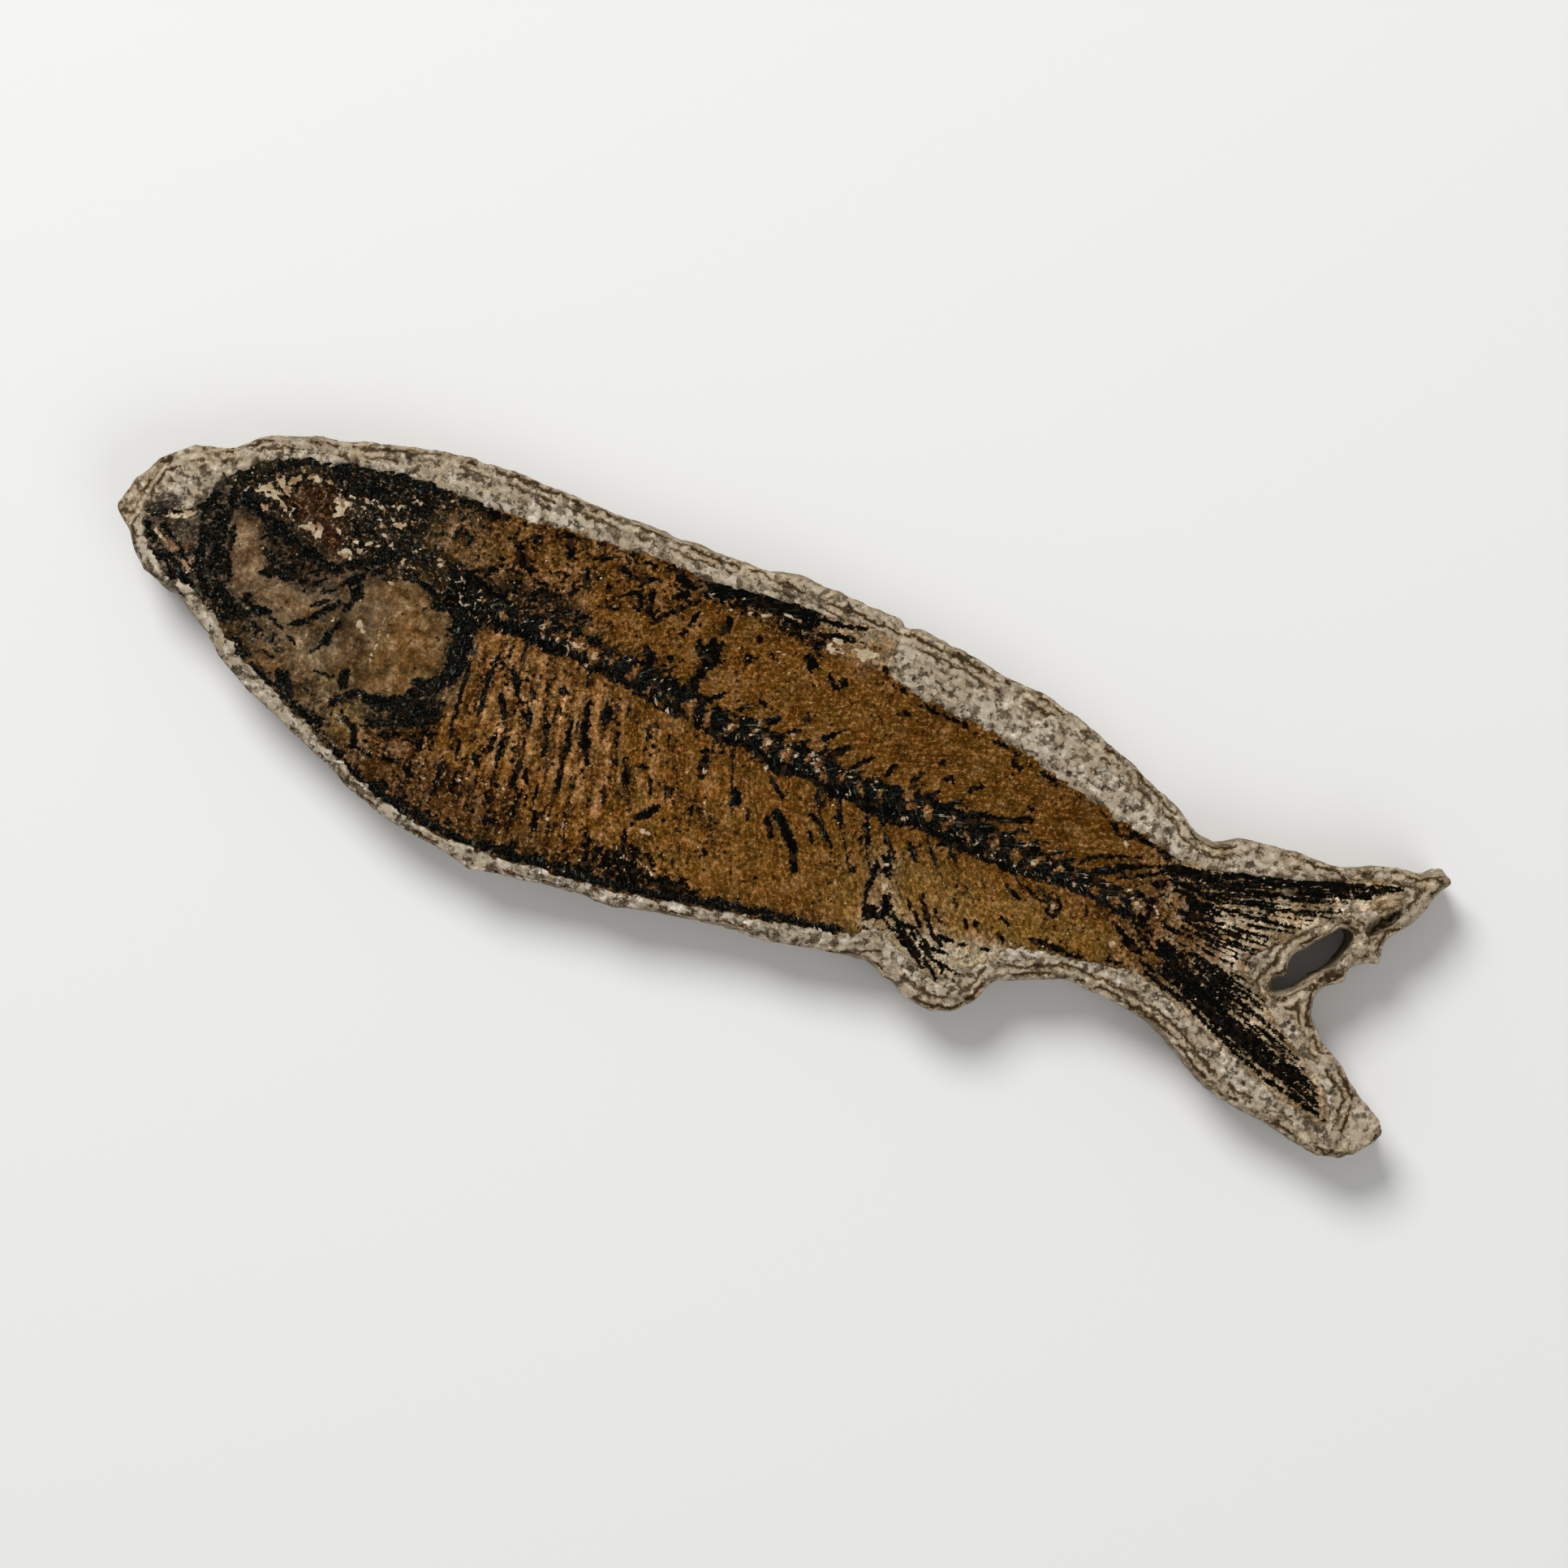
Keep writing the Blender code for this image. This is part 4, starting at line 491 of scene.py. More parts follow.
# Areas with many small pale flecks: how many, then the outline.
FLECKED = [
    (0.18, -46, 9, -40, 10, -34, 9, -34, 4.6, -40, 4.4, -45, 4),
    (0.24, -44.4, 9.4, -42, 10.6, -38.4, 11, -38, 8, -41.6, 7.6, -44, 8.4),
    (0.28, -53.6, 6.8, -52, 8.8, -50, 8.6, -50.2, 6.4, -48.8, 5.4, -46.4, 5.4, -45.6, 8.8, -43.6, 8,
     -42.4, 5.6, -44, 3.6, -50, 4.2, -52.6, 5.6),
    (0.2, -12, 4.8, 0, 4.2, 12, 3.8, 24, 3.6, 38, 3.2, 38, 1, 20, 0.8, 0, 1, -12, 2),
    (0.2, -34, 6.4, -10, 5, -10, 2.4, -34, 2.8), (0.13, -56, 11, -36, 13, -36, 9, -56, 6),
    (0.2, -12, 14.2, 2, 14.2, 4, 13, -11, 12.8), (0.1, -34, -10, -13, -10, -6, -13, -14, -15, -30, -15.6),
    (0.14, 40, 5, 49, 5, 48, 0.5, 41, 1), (0.18, 40, 7.2, 48, 9.4, 57, 12.4, 56, 10.6, 48, 7.6, 40, 5.6),
]
# Areas of another colour: its red, green and blue, how far it reaches over, then the outline.
TONES = [
    (112, 88, 63, 1, -53.8, 3.2, -51.9, 3.2, -50.8, 1.6, -49.6, 1.2, -50, -1, -50.6, -3.4, -52, -2.8,
     -53.2, -1),
    (108, 84, 56, 1.2, -49.6, -1, -46, -0.6, -43.6, -0.8, -43.4, -2.4, -45.6, -3.6, -49.4, -3.2),
    (68, 54, 38, 0.9, -52, 3.4, -47, 2.6, -42.6, 3.4, -43.2, 1.8, -46.4, 0.2, -50, 0.2, -51, 1.6),
    (105, 77, 43, 1.2, -39.8, 2.6, -37.2, 4.4, -35.4, 3.6, -33, 2.4, -32.4, -0.6, -32.4, -3, -34.4, -5.8,
     -37.6, -6.8, -38.4, -3.6),
    (98, 77, 52, 1.6, -41.4, 0.6, -39.2, 2, -38.2, 0.6, -38.6, -5, -40.6, -5.8, -42.2, -3.6),
    (95, 77, 53, 1.2, -49.4, -4.8, -45.8, -4.6, -42.6, -3.6, -40.8, -5.8, -41.6, -7, -45.8, -6.8, -49.2,
     -6.6), (120, 88, 52, 0.8, -47.9, -7, -45.5, -7, -45.2, -8.5, -47.6, -8.5),
    (100, 78, 49, 0.9, -43.7, -7.4, -40.6, -7, -39.8, -8.8, -40.6, -10.2, -43.2, -10.2),
    (108, 80, 38, 0.9, -39.5, -9.4, -37, -9, -36.2, -10.8, -37.2, -12, -39.2, -11.2),
    (66, 38, 23, 0.8, -46.8, 6.2, -45, 6, -44.2, 4.2, -45.4, 3.9, -47, 4.4),
    (92, 66, 34, 1.6, -37, 13.2, -33, 13.4, -31.6, 9, -33.2, 6.8, -36.4, 8),
    (62, 46, 28, 1.4, -34.5, 7, -26, 8.6, -22, 8.4, -20, 6.2, -24, 5.6, -34, 4.6),
    (92, 84, 78, 0.6, -60.4, -1.9, -58.4, -2.2, -56.8, -3.4, -57.6, -3.9, -59.8, -3),
    (112, 80, 54, 0.5, -60.8, 0.2, -58, -1, -55.8, -2.6, -56.2, -3, -58.8, -1.8),
    (130, 91, 47, 2.4, -28.5, 2, -22, 2.4, -16, 1.8, -14, -4, -18, -8, -27.6, -5),
    (78, 51, 20, 1.4, -36, -11.6, -28, -10.4, -20, -12.4, -14, -13.4, -16, -15.6, -26, -16, -34, -14.6),
    (120, 92, 58, 0.6, -1, 15, 2.6, 15.7, 5.8, 15.6, 5.9, 13.6, 3.4, 13.2, 1.8, 13.6, -0.9, 14.5),
    (142, 122, 94, 0.7, -1.4, 16.2, 5.6, 17.2, 7.8, 16.6, 7.4, 13.4, 5.6, 13.4, 5.4, 14.8, 2, 15, -1, 15),
    (156, 142, 117, 0.8, 13, -8.8, 16, -8, 19.2, -8, 25.8, -6.6, 26.2, -8.6, 22.4, -12, 17, -10.2),
    (124, 98, 66, 0.5, 13, -5.6, 14, -5.6, 14.2, -7, 13.4, -7.4, 12.8, -6.6),
    (160, 142, 114, 1.6, 40.5, 5.6, 45, 6.4, 50, 8.6, 56.5, 13.6, 59.4, 13, 54, 5, 49, 0.4, 44.5, 0.2, 41,
     1.4),
    (138, 118, 88, 1.4, 46, -1, 52, -3, 58, -6.4, 60.6, -9.6, 58, -10.6, 52.5, -9, 46.5, -6.4, 44, -3),
    (102, 73, 39, 1.8, 35, 7.4, 40.4, 7.2, 43, 5, 44.2, 2.4, 43.6, -0.6, 41.4, -3.6, 35, -3.6),
    (74, 58, 34, 1.2, 41, 7.4, 46, 8.8, 52, 10.8, 52.4, 9.2, 46, 7, 41, 5.8),
]
# Ridges of the head's bones: a width, a rise, then the points.
RIDGES = [
    (0.9, 0.22, -55, 7.3, -51.4, 9.9, -46.6, 11.1, -40.6, 11.9, -35.2, 11.9),
    (0.9, 0.22, -52.2, 5.9, -51.8, 8.4, -49.6, 9.9, -46.8, 9.9, -44.6, 8.7, -44, 6.6),
    (0.9, 0.2, -55, 5.4, -51.4, 5.2, -48.2, 4.2, -45.2, 4.4, -42.4, 4.9, -39.6, 5.6),
    (0.8, 0.16, -42.6, 9.8, -38.8, 9.4, -34.9, 9), (0.8, 0.16, -42.4, 7.4, -38.4, 7.2, -34.4, 6.4),
    (0.7, 0.2, -61.6, 0.6, -59.2, 1.2, -57.4, 2),
    (1, 0.26, -56.7, 4.2, -56, 1.6, -55.2, -1, -54.1, -3, -53.1, -3.9),
    (0.7, 0.18, -60.8, -1.3, -58.4, -1.5, -56.6, -2.6, -55.3, -3.7),
    (0.6, 0.16, -60, -2.5, -58, -3.2, -56.2, -3.7),
    (0.9, 0.22, -53, 3, -52.8, 0.4, -51.6, -1.7, -49.2, -2.9, -46.6, -3, -44.4, -2),
    (0.8, 0.18, -49.8, 0.8, -47, 0.2, -44.4, 1, -42, 2.3),
    (0.5, 0.1, -40.6, 0.6, -40.6, -2.4, -39.4, -5.4), (0.5, 0.1, -37.8, 2.2, -37.4, -1.4, -37, -5.6),
    (0.5, 0.1, -35, 2.2, -34.2, -0.8, -34.6, -4.2),
    (1.3, 0.3, -31.2, 2.2, -30.2, -0.4, -30.4, -3, -31.6, -5.6, -34, -7.7, -37.6, -8.6),
    (0.7, 0.16, -50.2, -5, -47.8, -5.2, -44.6, -4.6, -42.8, -3.6),
    (0.5, 0.14, -50.2, -6.4, -46.8, -7, -43.4, -6.6, -41.4, -6.6),
    (0.5, 0.14, -48, -8, -44.8, -8.5, -41.8, -9), (0.5, 0.14, -45.4, -9.5, -42.6, -10.2, -39.4, -10.6),
    (0.8, 0.22, 13.1, -2.8, 13.4, -5.2, 13.7, -7.8),
]
# Fin rays: a line of roots, a line of tips, the count of rays, how dark they are, and half of their width.
FANS = [
    ([(-35.8, -10.9), (-35.2, -11.6)], [(-22.8, -11.4), (-22.4, -12.8), (-26, -13.4)], 9, 0.62, 0.1),
    ([(-11.4, 14.4), (-6, 14.2)], [(-3, 15.3), (-1.2, 15.3), (-1, 14.5)], 7, 1.0, 0.16),
    ([(15, -7.7), (21, -7.3)], [(20.4, -11), (22.6, -10.6), (24.2, -8.6)], 8, 0.45, 0.07),
    ([(39.6, 7.2), (39.8, 5.4)], [(58.6, 13.2), (55, 10.8)], 8, 1.0, 0.16),
    ([(40, 5.2), (40.6, 3.6)], [(54.8, 10.4), (52.6, 7.8), (50, 5.2)], 9, 0.9, 0.12),
    ([(41, 3.2), (41.6, 1.3)], [(49.6, 4.4), (49.2, 1)], 7, 0.9, 0.12),
    ([(40, -2.6), (40.6, -1.2)], [(59.6, -9.6), (57.4, -7.2)], 8, 1.0, 0.19),
    ([(41, -0.9), (41.6, 0.4)], [(57, -6.8), (50.6, -1.6)], 8, 1.0, 0.14),
]
BELLY_EDGE = [
    (-38.4, -13.6), (-35.2, -14.9), (-32.1, -15.9), (-28.6, -16.6), (-25, -16.9), (-21, -16.8), (-17, -16.4),
    (-12.5, -15.9), (-8, -15.3), (-4, -14.6), (0, -13.5), (4, -12.8), (8, -12), (11.6, -11.3),
]
SCUTE_COUNT = 26
EYE_CENTRE, EYE_HALF_WIDTH, EYE_HALF_HEIGHT, EYE_RISE = (-48.0, 7.1), 2.1, 1.7, 0.35
# Where the eye is brown and has no pale flecks: a place, half of its width and half of its height.
EYE_BROWN = [(-48.1, 7.0, 0.8, 1.15), (-45.6, 5.0, 0.3, 0.7)]

# The pieces

# For each piece: its material, its colour where no dark bone is left, and how high it stands over the skin.
PIECES = {
    "body_skin": ("skin_film", (98, 64, 19), 0.0), "skull": ("black_bone", (31, 29, 21), 0.12),
    "eye": ("rusty_eye", (55, 33, 16), 0.06), "cheek": ("olive_bone", (82, 66, 48), 0.04),
    "upper_jaw": ("black_bone", (62, 56, 48), 0.12), "lower_jaw": ("brown_bone", (96, 86, 70), 0.06),
    "gill_cover": ("olive_bone", (98, 74, 45), 0.07), "throat": ("brown_bone", (76, 61, 41), 0.02),
    "shoulder_girdle": ("black_bone", (50, 42, 30), 0.12), "pectoral_fin": ("fin_rays", (92, 60, 30), 0.08),
    "dorsal_fin": ("fin_rays", (74, 54, 34), 0.0), "anal_fin": ("fin_rays", (132, 110, 80), 0.0),
    "tail_fin_upper": ("fin_rays", (140, 122, 94), 0.0), "tail_fin_lower": ("fin_rays", (134, 116, 90), 0.0),
    "belly_scutes": ("black_bone", (72, 50, 27), 0.0),
}
NAMES = sorted(PIECES)
RISE_BLUR = 10
# Pieces with a groove round them, and pieces whose colour runs into the next one's.
SEAMED = {"cheek", "gill_cover", "upper_jaw", "lower_jaw"}
SEAM_BLUR, SEAM_DEPTH, SEAM_SHOWS = 3, 0.025, (0.5, 1.0)
BLENDED = {
    "body_skin", "cheek", "gill_cover", "skull", "pectoral_fin", "throat", "belly_scutes", "tail_fin_upper",
    "tail_fin_lower",
}
WIDE_BLEND, NARROW_BLEND = 70, 18
# Fins lie nearly level with the stone.
FINS, FIN_BLUR, FIN_SHARE = {"dorsal_fin", "anal_fin", "tail_fin_upper", "tail_fin_lower"}, 20, 0.25
# Smooth plates have fewer dark specks.
PLATES, PLATE_BLUR, PLATE_LESS = {"cheek", "gill_cover", "throat"}, 6, 0.09
# The skin's colours, each with where it fades in along X and Y.
SKIN_COLOURS = [
    ((87, 56, 14), (4, 26), (-2, 3)), ((109, 72, 24), (12, -4), (3, -2)),
    ((111, 80, 32), (4, 14), (0, -3)), ((103, 70, 31), (-16, -34), (1, 5)),
]
SKIN_UNEVEN = 0.30
VERTEBRA_BROWN, VERTEBRA_STRENGTH = srgb(122, 84, 48), 0.85
# The palest grains have less colour, most of all on the head and fins, and the darkest have more: their red,
# green and blue against the mean, what the darkest lose, and the most of both.
FADED, FADED_HEAD, FADED_FINS = (1.69, 0.91, 0.40), (1.43, 1.00, 0.57), (1.24, 1.02, 0.74)
DEEPENED, MOST_FADED = (0.0, 0.14, 0.38), 0.8
# The flank is more even from its middle to the tail's root.
CALMER, CALM_FRONT, CALM_REAR = 0.32, (-14.0, -4.0), (40.0, 34.0)
# The film is this much darker where it meets black bone.
HALO, HALO_SHOWS = 0.22, (0.22, 0.60)

# Which piece each cell belongs to

# Where the rays that look for the pieces start, in metres, and how often the corners are gone through.
RAY_START, CORNER_ROUNDS = 0.02, 40


def find_pieces():
    """The piece under the middle of each cell, or -1, and the cells of the pocket and of the stone."""
    points, faces, owners = [], [], []
    for number, name in enumerate(NAMES):
        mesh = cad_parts[name].data
        start = len(points)
        points.extend(vertex.co.copy() for vertex in mesh.vertices)
        for polygon in mesh.polygons:
            faces.append([start + index for index in polygon.vertices])
            owners.append(number)
    pieces_tree = BVHTree.FromPolygons(points, faces)
    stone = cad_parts["stone_matrix"].data
    stone_faces = [list(polygon.vertices) for polygon in stone.polygons]
    stone_tree = BVHTree.FromPolygons([vertex.co.copy() for vertex in stone.vertices], stone_faces)
    labels = np.full((X_CELLS, Y_CELLS), -1)
    pocket, on_stone = np.zeros(labels.shape), np.zeros(labels.shape)
    down = Vector((0, 0, -1))
    for i, j in np.ndindex(*labels.shape):
        above = Vector(((XS[i] + STEP / 2) * MM, (YS[j] + STEP / 2) * MM, RAY_START))
        hit = stone_tree.ray_cast(above, down)[0]
        if hit is None:
            continue
        on_stone[i, j] = 1.0
        if hit.z < POCKET_TOP * MM:
            pocket[i, j] = 1.0
            hit, _, index, _ = pieces_tree.ray_cast(above, down)
            if hit is not None:
                labels[i, j] = owners[index]
    return labels, pocket, on_stone


def spread(labels, allowed, rounds):
    """Lets each piece grow into the free cells beside it."""
    for _ in range(rounds):
        for axis, way in ((0, 1), (1, 1), (0, -1), (1, -1)):
            beside = np.roll(labels, way, axis)
            labels = np.where((labels < 0) & allowed & (beside >= 0), beside, labels)
    return labels


def part_corners(labels):
    """Changes single cells until no piece touches itself only at a corner."""
    labels = labels.copy()
    for _ in range(CORNER_ROUNDS):
        a, b, c, d = labels[:-1, :-1], labels[1:, :-1], labels[:-1, 1:], labels[1:, 1:]
        first = (a == d) & (a >= 0) & (b != a) & (c != a)
        second = (b == c) & (b >= 0) & (a != b) & (d != b)
        if not first.any() and not second.any():
            break
        i, j = np.nonzero(first)
        labels[i + 1, j] = labels[i, j]
        i, j = np.nonzero(second & ~first)
        labels[i, j] = labels[i + 1, j]
    return labels


def mask_depth(mask, reach):
    """How far each cell is inside a mask, in millimetres, up to a reach."""
    depth = np.where(mask, reach, 0.0)
    for _ in range(int(reach / STEP) + 2):
        for way in ((1, 0), (-1, 0), (0, 1), (0, -1)):
            depth = np.minimum(depth, np.roll(depth, way, (0, 1)) + STEP)
        for way in ((1, 1), (1, -1), (-1, 1), (-1, -1)):
            depth = np.minimum(depth, np.roll(depth, way, (0, 1)) + STEP * math.sqrt(2))
    return depth


def cover(labels, chosen, passes):
    """1 over some of the pieces and 0 elsewhere, with a soft edge."""
    return blur(np.isin(to_corners(labels), [NAMES.index(name) for name in chosen]).astype(float), passes)


# The stone's top

# Hollows in it: a depth, then the outline.
HOLLOWS = [
    (1.3, -62.8, 1.1, -61.4, 2.2, -60, 3.2, -58.9, 2.9, -60.4, 1.8, -61.9, 0.7),
    (2.2, 56.3, 8.2, 57, 9.6, 57.4, 11.2, 58.4, 11.4, 59.2, 10.6, 58.6, 9.2, 57.6, 8, 56.9, 7.4),
    (0.8, -52.8, 11.2, -49.6, 12.4, -47.4, 12.7, -49.4, 11.8, -52, 10.8),
]
HOLLOW_EDGE = (-0.15, 0.45)
TOP_LUMPS, TOP_GRAIN, TOP_DROP = 0.22, 0.12, 0.02
# Flakes lost at the rim: how much is lost, and between which depths from the rim the step lies.
FLAKES, FLAKE_WANDER = [(0.20, 0.4, 0.7), (0.16, 1.3, 1.6), (0.12, 2.3, 2.6)], 1.7
PIT_DEPTH, PIT_HILLS, PIT_SEED, PIT_SHOWS = 0.16, 0.9, 5.0, (0.72, 0.92)


def hollow_depth(x, y):
    depth = np.zeros(x.shape)
    for deep, *outline in HOLLOWS:
        depth = np.maximum(depth, deep * smooth(*HOLLOW_EDGE, outline_depth(x, y, pairs(outline))))
    return depth


def stone_surface(x, y, rim):
    """The height of the limestone's top: low lumps, fine grain, a few pits, and flakes lost at the rim."""
    lumps = TOP_LUMPS * hills("stone lumps", x, y) + TOP_GRAIN * hills("stone grain", x, y)
    depth = rim + FLAKE_WANDER * hills("flakes", x, y)
    step = sum(lost * (1 - smooth(low, high, depth)) for lost, low, high in FLAKES)
    pits = PIT_DEPTH * smooth(*PIT_SHOWS, noise(x * PIT_HILLS, y * PIT_HILLS, PIT_SEED))
    return STONE_TOP - TOP_DROP + lumps - pits - step


# Fields over the whole lattice

# The fibres of the skin end here, at the head, where short ones along it take their place.
HEAD_REAR, HEAD_ACROSS, HEAD_ALONG, ABOVE_ALONG = -31.5, 0.55, 2.0, 1.2
# How the rib-like fibres lean below the column, and how steeply the fibres rise above it, in degrees.
LEANS = [(-34, 2), (-29, 3), (-17, 19), (4, 30), (18, 47), (30, 56), (40, 64)]
SLOPES = [(-34, 42), (-20, 44), (-10, 34), (10, 28), (36, 24)]
ROOT_ROUNDS = 14


def fibre_lines():
    """Along every rib-like line the first value is constant. The second one grows along it."""
    column = at_x(COLUMN_PATH, X)
    below, above = np.minimum(Y - column, 0.0), np.maximum(Y - column, 0.0)
    root = X.copy()
    for _ in range(ROOT_ROUNDS):
        root = 0.5 * root + 0.5 * (X + below * np.tan(np.radians(at_x(LEANS, root))))
    slope = np.radians(at_x(SLOPES, X))
    across = np.where(Y < column, root, (X - above / np.tan(slope)) * np.sin(slope))
    along = np.hypot(below, X - root) + above * ABOVE_ALONG
    head = X < HEAD_REAR
    return np.where(head, HEAD_ACROSS * X, across), np.where(head, HEAD_ALONG * Y, along)


ACROSS, ALONG = fibre_lines()
THREADS, STREAKS = hills("threads", ACROSS, ALONG), hills("streaks", ACROSS, ALONG)
LUMPS, GRIT = hills("lumps"), hills("grit")
# The head, and the striped front of the flank.
HEAD_FADE = (-29.0, -36.0)
STRIPES_REAR, STRIPES_TOP, STRIPES_FRONT = (4.0, -18.0), (4.0, 2.0), (-33.5, -30.5)
HEAD = smooth(*HEAD_FADE, X)
FRONT = smooth(*STRIPES_REAR, X) * smooth(*STRIPES_TOP, Y) * smooth(*STRIPES_FRONT, X)


# Marks

def at_share(path, share):
    """The place that far along a path, from 0 to 1, with each of its sections counted alike."""
    position = share * (len(path) - 1)
    index = min(int(position), len(path) - 2)
    return tuple(a + (b - a) * (position - index) for a, b in zip(path[index], path[index + 1]))


def bone_rows():
    """Each rib and spine as a path, with its radius at the root and whether it is a rib."""
    rows = []
    for first, last, lengths, leans, side, radius in BONE_ROWS:
        for index in range(first, last + 1):
            share = (index - first) / (last - first)
            length = lengths[0] + (lengths[1] - lengths[0]) * share
            lean = math.radians(leans[0] + (leans[1] - leans[0]) * share)
            x = COLUMN_START + (index + 0.5) * VERTEBRA_PITCH
            y = float(at_x(COLUMN_PATH, x))
            path = []
            for part in (step / (BONE_POINTS - 1) for step in range(BONE_POINTS)):
                bow = BONE_BOW * length * part * (1 - part)
                rise = side * math.cos(lean) * length * part
                path.append((x + math.sin(lean) * length * part - bow, y + rise))
            rows.append((path, radius, side < 0 and index <= LAST_RIB))
    return rows


# The middles of the vertebrae: their height and tilt, and how wide and strong the lost black, rust and
# pale are.
CENTRE_TALL, CENTRE_TALLER, CENTRE_TILT, TALL_HILLS, TILT_HILLS = 0.30, 0.25, 0.9, 2.7, 1.7
CLEAR_WIDE, CLEAR, CLEARER = 0.85, 0.40, 0.35
RUST_WIDE, RUST, RUSTIER = 1.0, 0.25, 0.45
PALE_WIDE, PALE, PALER = 0.45, 0.22, 0.34
# What a pale mark takes from the black and adds to the pale, and from which width its outline wanders.
PALE_CLEARS, PALE_ADDS, PALE_WAVY = 0.7, 0.9, 0.45
EYE_LESS_PALE, EYE_LESS_DARK = 0.95, 0.7
# A faint spatter of black bone round the marks.
SPATTER_BLUR, SPATTER_REAR, MARKS_KEPT, SPATTER = 14, (38.0, 34.0), 0.92, 0.26


def paint_marks():
    """How much dark bone, pale calcite and rust there is at each place, before the fine noise."""
    dark, pale, rusty = np.zeros(X.shape), np.zeros(X.shape), np.zeros(X.shape)
    for strength, *outline in MOTTLED:
        area(dark, pairs(outline), strength)
    band = smooth(*BAND_EDGE, at_x(BAND_TOP, X) - Y_WAVY) * smooth(*BAND_EDGE, Y_WAVY - at_x(BAND_BOTTOM, X))
    band *= at_x(BAND_STRENGTH, X) * smooth(*BAND_REAR, X) * smooth(*BAND_FRONT, X)
    dark = np.maximum(dark, band)
    for strength, *outline in FLECKED:
        area(pale, pairs(outline), strength)
    for marks in (BACK_MARKS, BELLY_MARKS, FIN_MARKS, HEAD_MARKS):
        broader = BELLY_BROADER if marks is BELLY_MARKS else 1.0
        for width, *path in marks:
            stroke(dark, pairs(path), broader * MARK_WIDTH * width + MARK_SPREAD, MARK_STRENGTH)
    for x, y, width, paleness in CENTRES:
        tall = CENTRE_TALL + CENTRE_TALLER * float(noise(x * TALL_HILLS, y, 1.0))
        tilt = CENTRE_TILT * float(noise(x * TILT_HILLS, y, 3.0) - 0.5)
        path = [(x - tilt, y - tall), (x + tilt, y + tall)]
        stroke_less(dark, path, CLEAR_WIDE * width, CLEAR + CLEARER * paleness, soft=0.3)
        stroke(rusty, path, RUST_WIDE * width, RUST + RUSTIER * paleness, soft=0.4, wavy=True)
        stroke(pale, path, PALE_WIDE * width, PALE + PALER * paleness, soft=0.4, wavy=True)
    for width, *path in PALE_MARKS:
        stroke_less(dark, pairs(path), width, PALE_CLEARS)
        stroke(pale, pairs(path), width, PALE_ADDS, wavy=width > PALE_WAVY)
    for x, y, width, height in EYE_BROWN:
        stroke_less(pale, [(x - width, y), (x + width, y)], 2 * height, EYE_LESS_PALE)
        stroke_less(dark, [(x - width, y), (x + width, y)], 2 * height, EYE_LESS_DARK)
    spatter = blur(np.clip(dark, 0, 1), SPATTER_BLUR) * smooth(*SPATTER_REAR, X)
    return np.maximum(dark, MARKS_KEPT * dark + SPATTER * spatter), pale, rusty


def half_round(away, radius):
    """The height of a round rod at a distance from its middle, from 0 to 1."""
    return np.sqrt(np.clip(1 - (away / radius) ** 2, 0, 1))


# Ribs and spines: the breaks in the black of a rib and of a spine, its width and strength, and the ridges.
ROW_MARGIN, ROW_LOOSE, ROW_BREAKS = 1.2, 0.5, {True: (6.0, (0.50, 0.66)), False: (2.6, (0.34, 0.5))}
ROW_WIDE, ROW_THINNER, ROW_EDGE, ROW_FAINT, ROW_STRONG = 0.60, 0.35, 0.26, 0.34, 0.62
ROW_HEIGHT, ROW_BROAD, ROW_LOWER = 0.15, 1.25, 0.4


def paint_rows(dark, relief):
    """The ribs and spines: a low ridge each, with black bone left on it in broken lengths."""
    for number, (path, radius, is_rib) in enumerate(bone_rows()):
        i, j = window(path, ROW_MARGIN)
        away, along = distance(*loosened(i, j, ROW_LOOSE), path)
        often, shows = ROW_BREAKS[is_rib]
        left = smooth(*shows, noise(along * often, number * 3.7, 2.0))
        half = radius * (ROW_WIDE - ROW_THINNER * along)
        mark = np.clip(0.5 + (half - away) / ROW_EDGE, 0.0, 1.0)
        dark[i, j] = np.maximum(dark[i, j], mark * (ROW_FAINT + ROW_STRONG * left))
        away, along = distance(X[i, j], Y[i, j], path)
        height = ROW_HEIGHT * half_round(away, radius * ROW_BROAD) * (1 - ROW_LOWER * along)
        relief[i, j] = np.maximum(relief[i, j], height)


# Fin rays: their spacing, breaks, joints, width and strength, and the height and half width of their ridges.
RAY_MARGIN, RAY_LOOSE, RAY_UNEVEN, RAY_ENDS = 1.0, 0.4, 0.3, 0.7
RAY_BREAKS, RAY_JOINTS, RAY_WAVES = 0.35, 1.8, 0.25
BREAKS_SHOW, JOINTS_SHOW, ROOT_SHOWS = (0.20, 0.42), (0.10, 0.25), (0.05, 0.30)
RAY_WIDE, RAY_WIDER, RAY_ROOT, RAY_TIP, RAY_EDGE = 0.75, 0.7, 1.1, 0.6, 0.24
RAY_FAINT, RAY_STRONG, ROOT_FAINT, RAY_HEIGHT, RAY_HALF = 0.25, 0.85, 0.62, 0.12, 0.28


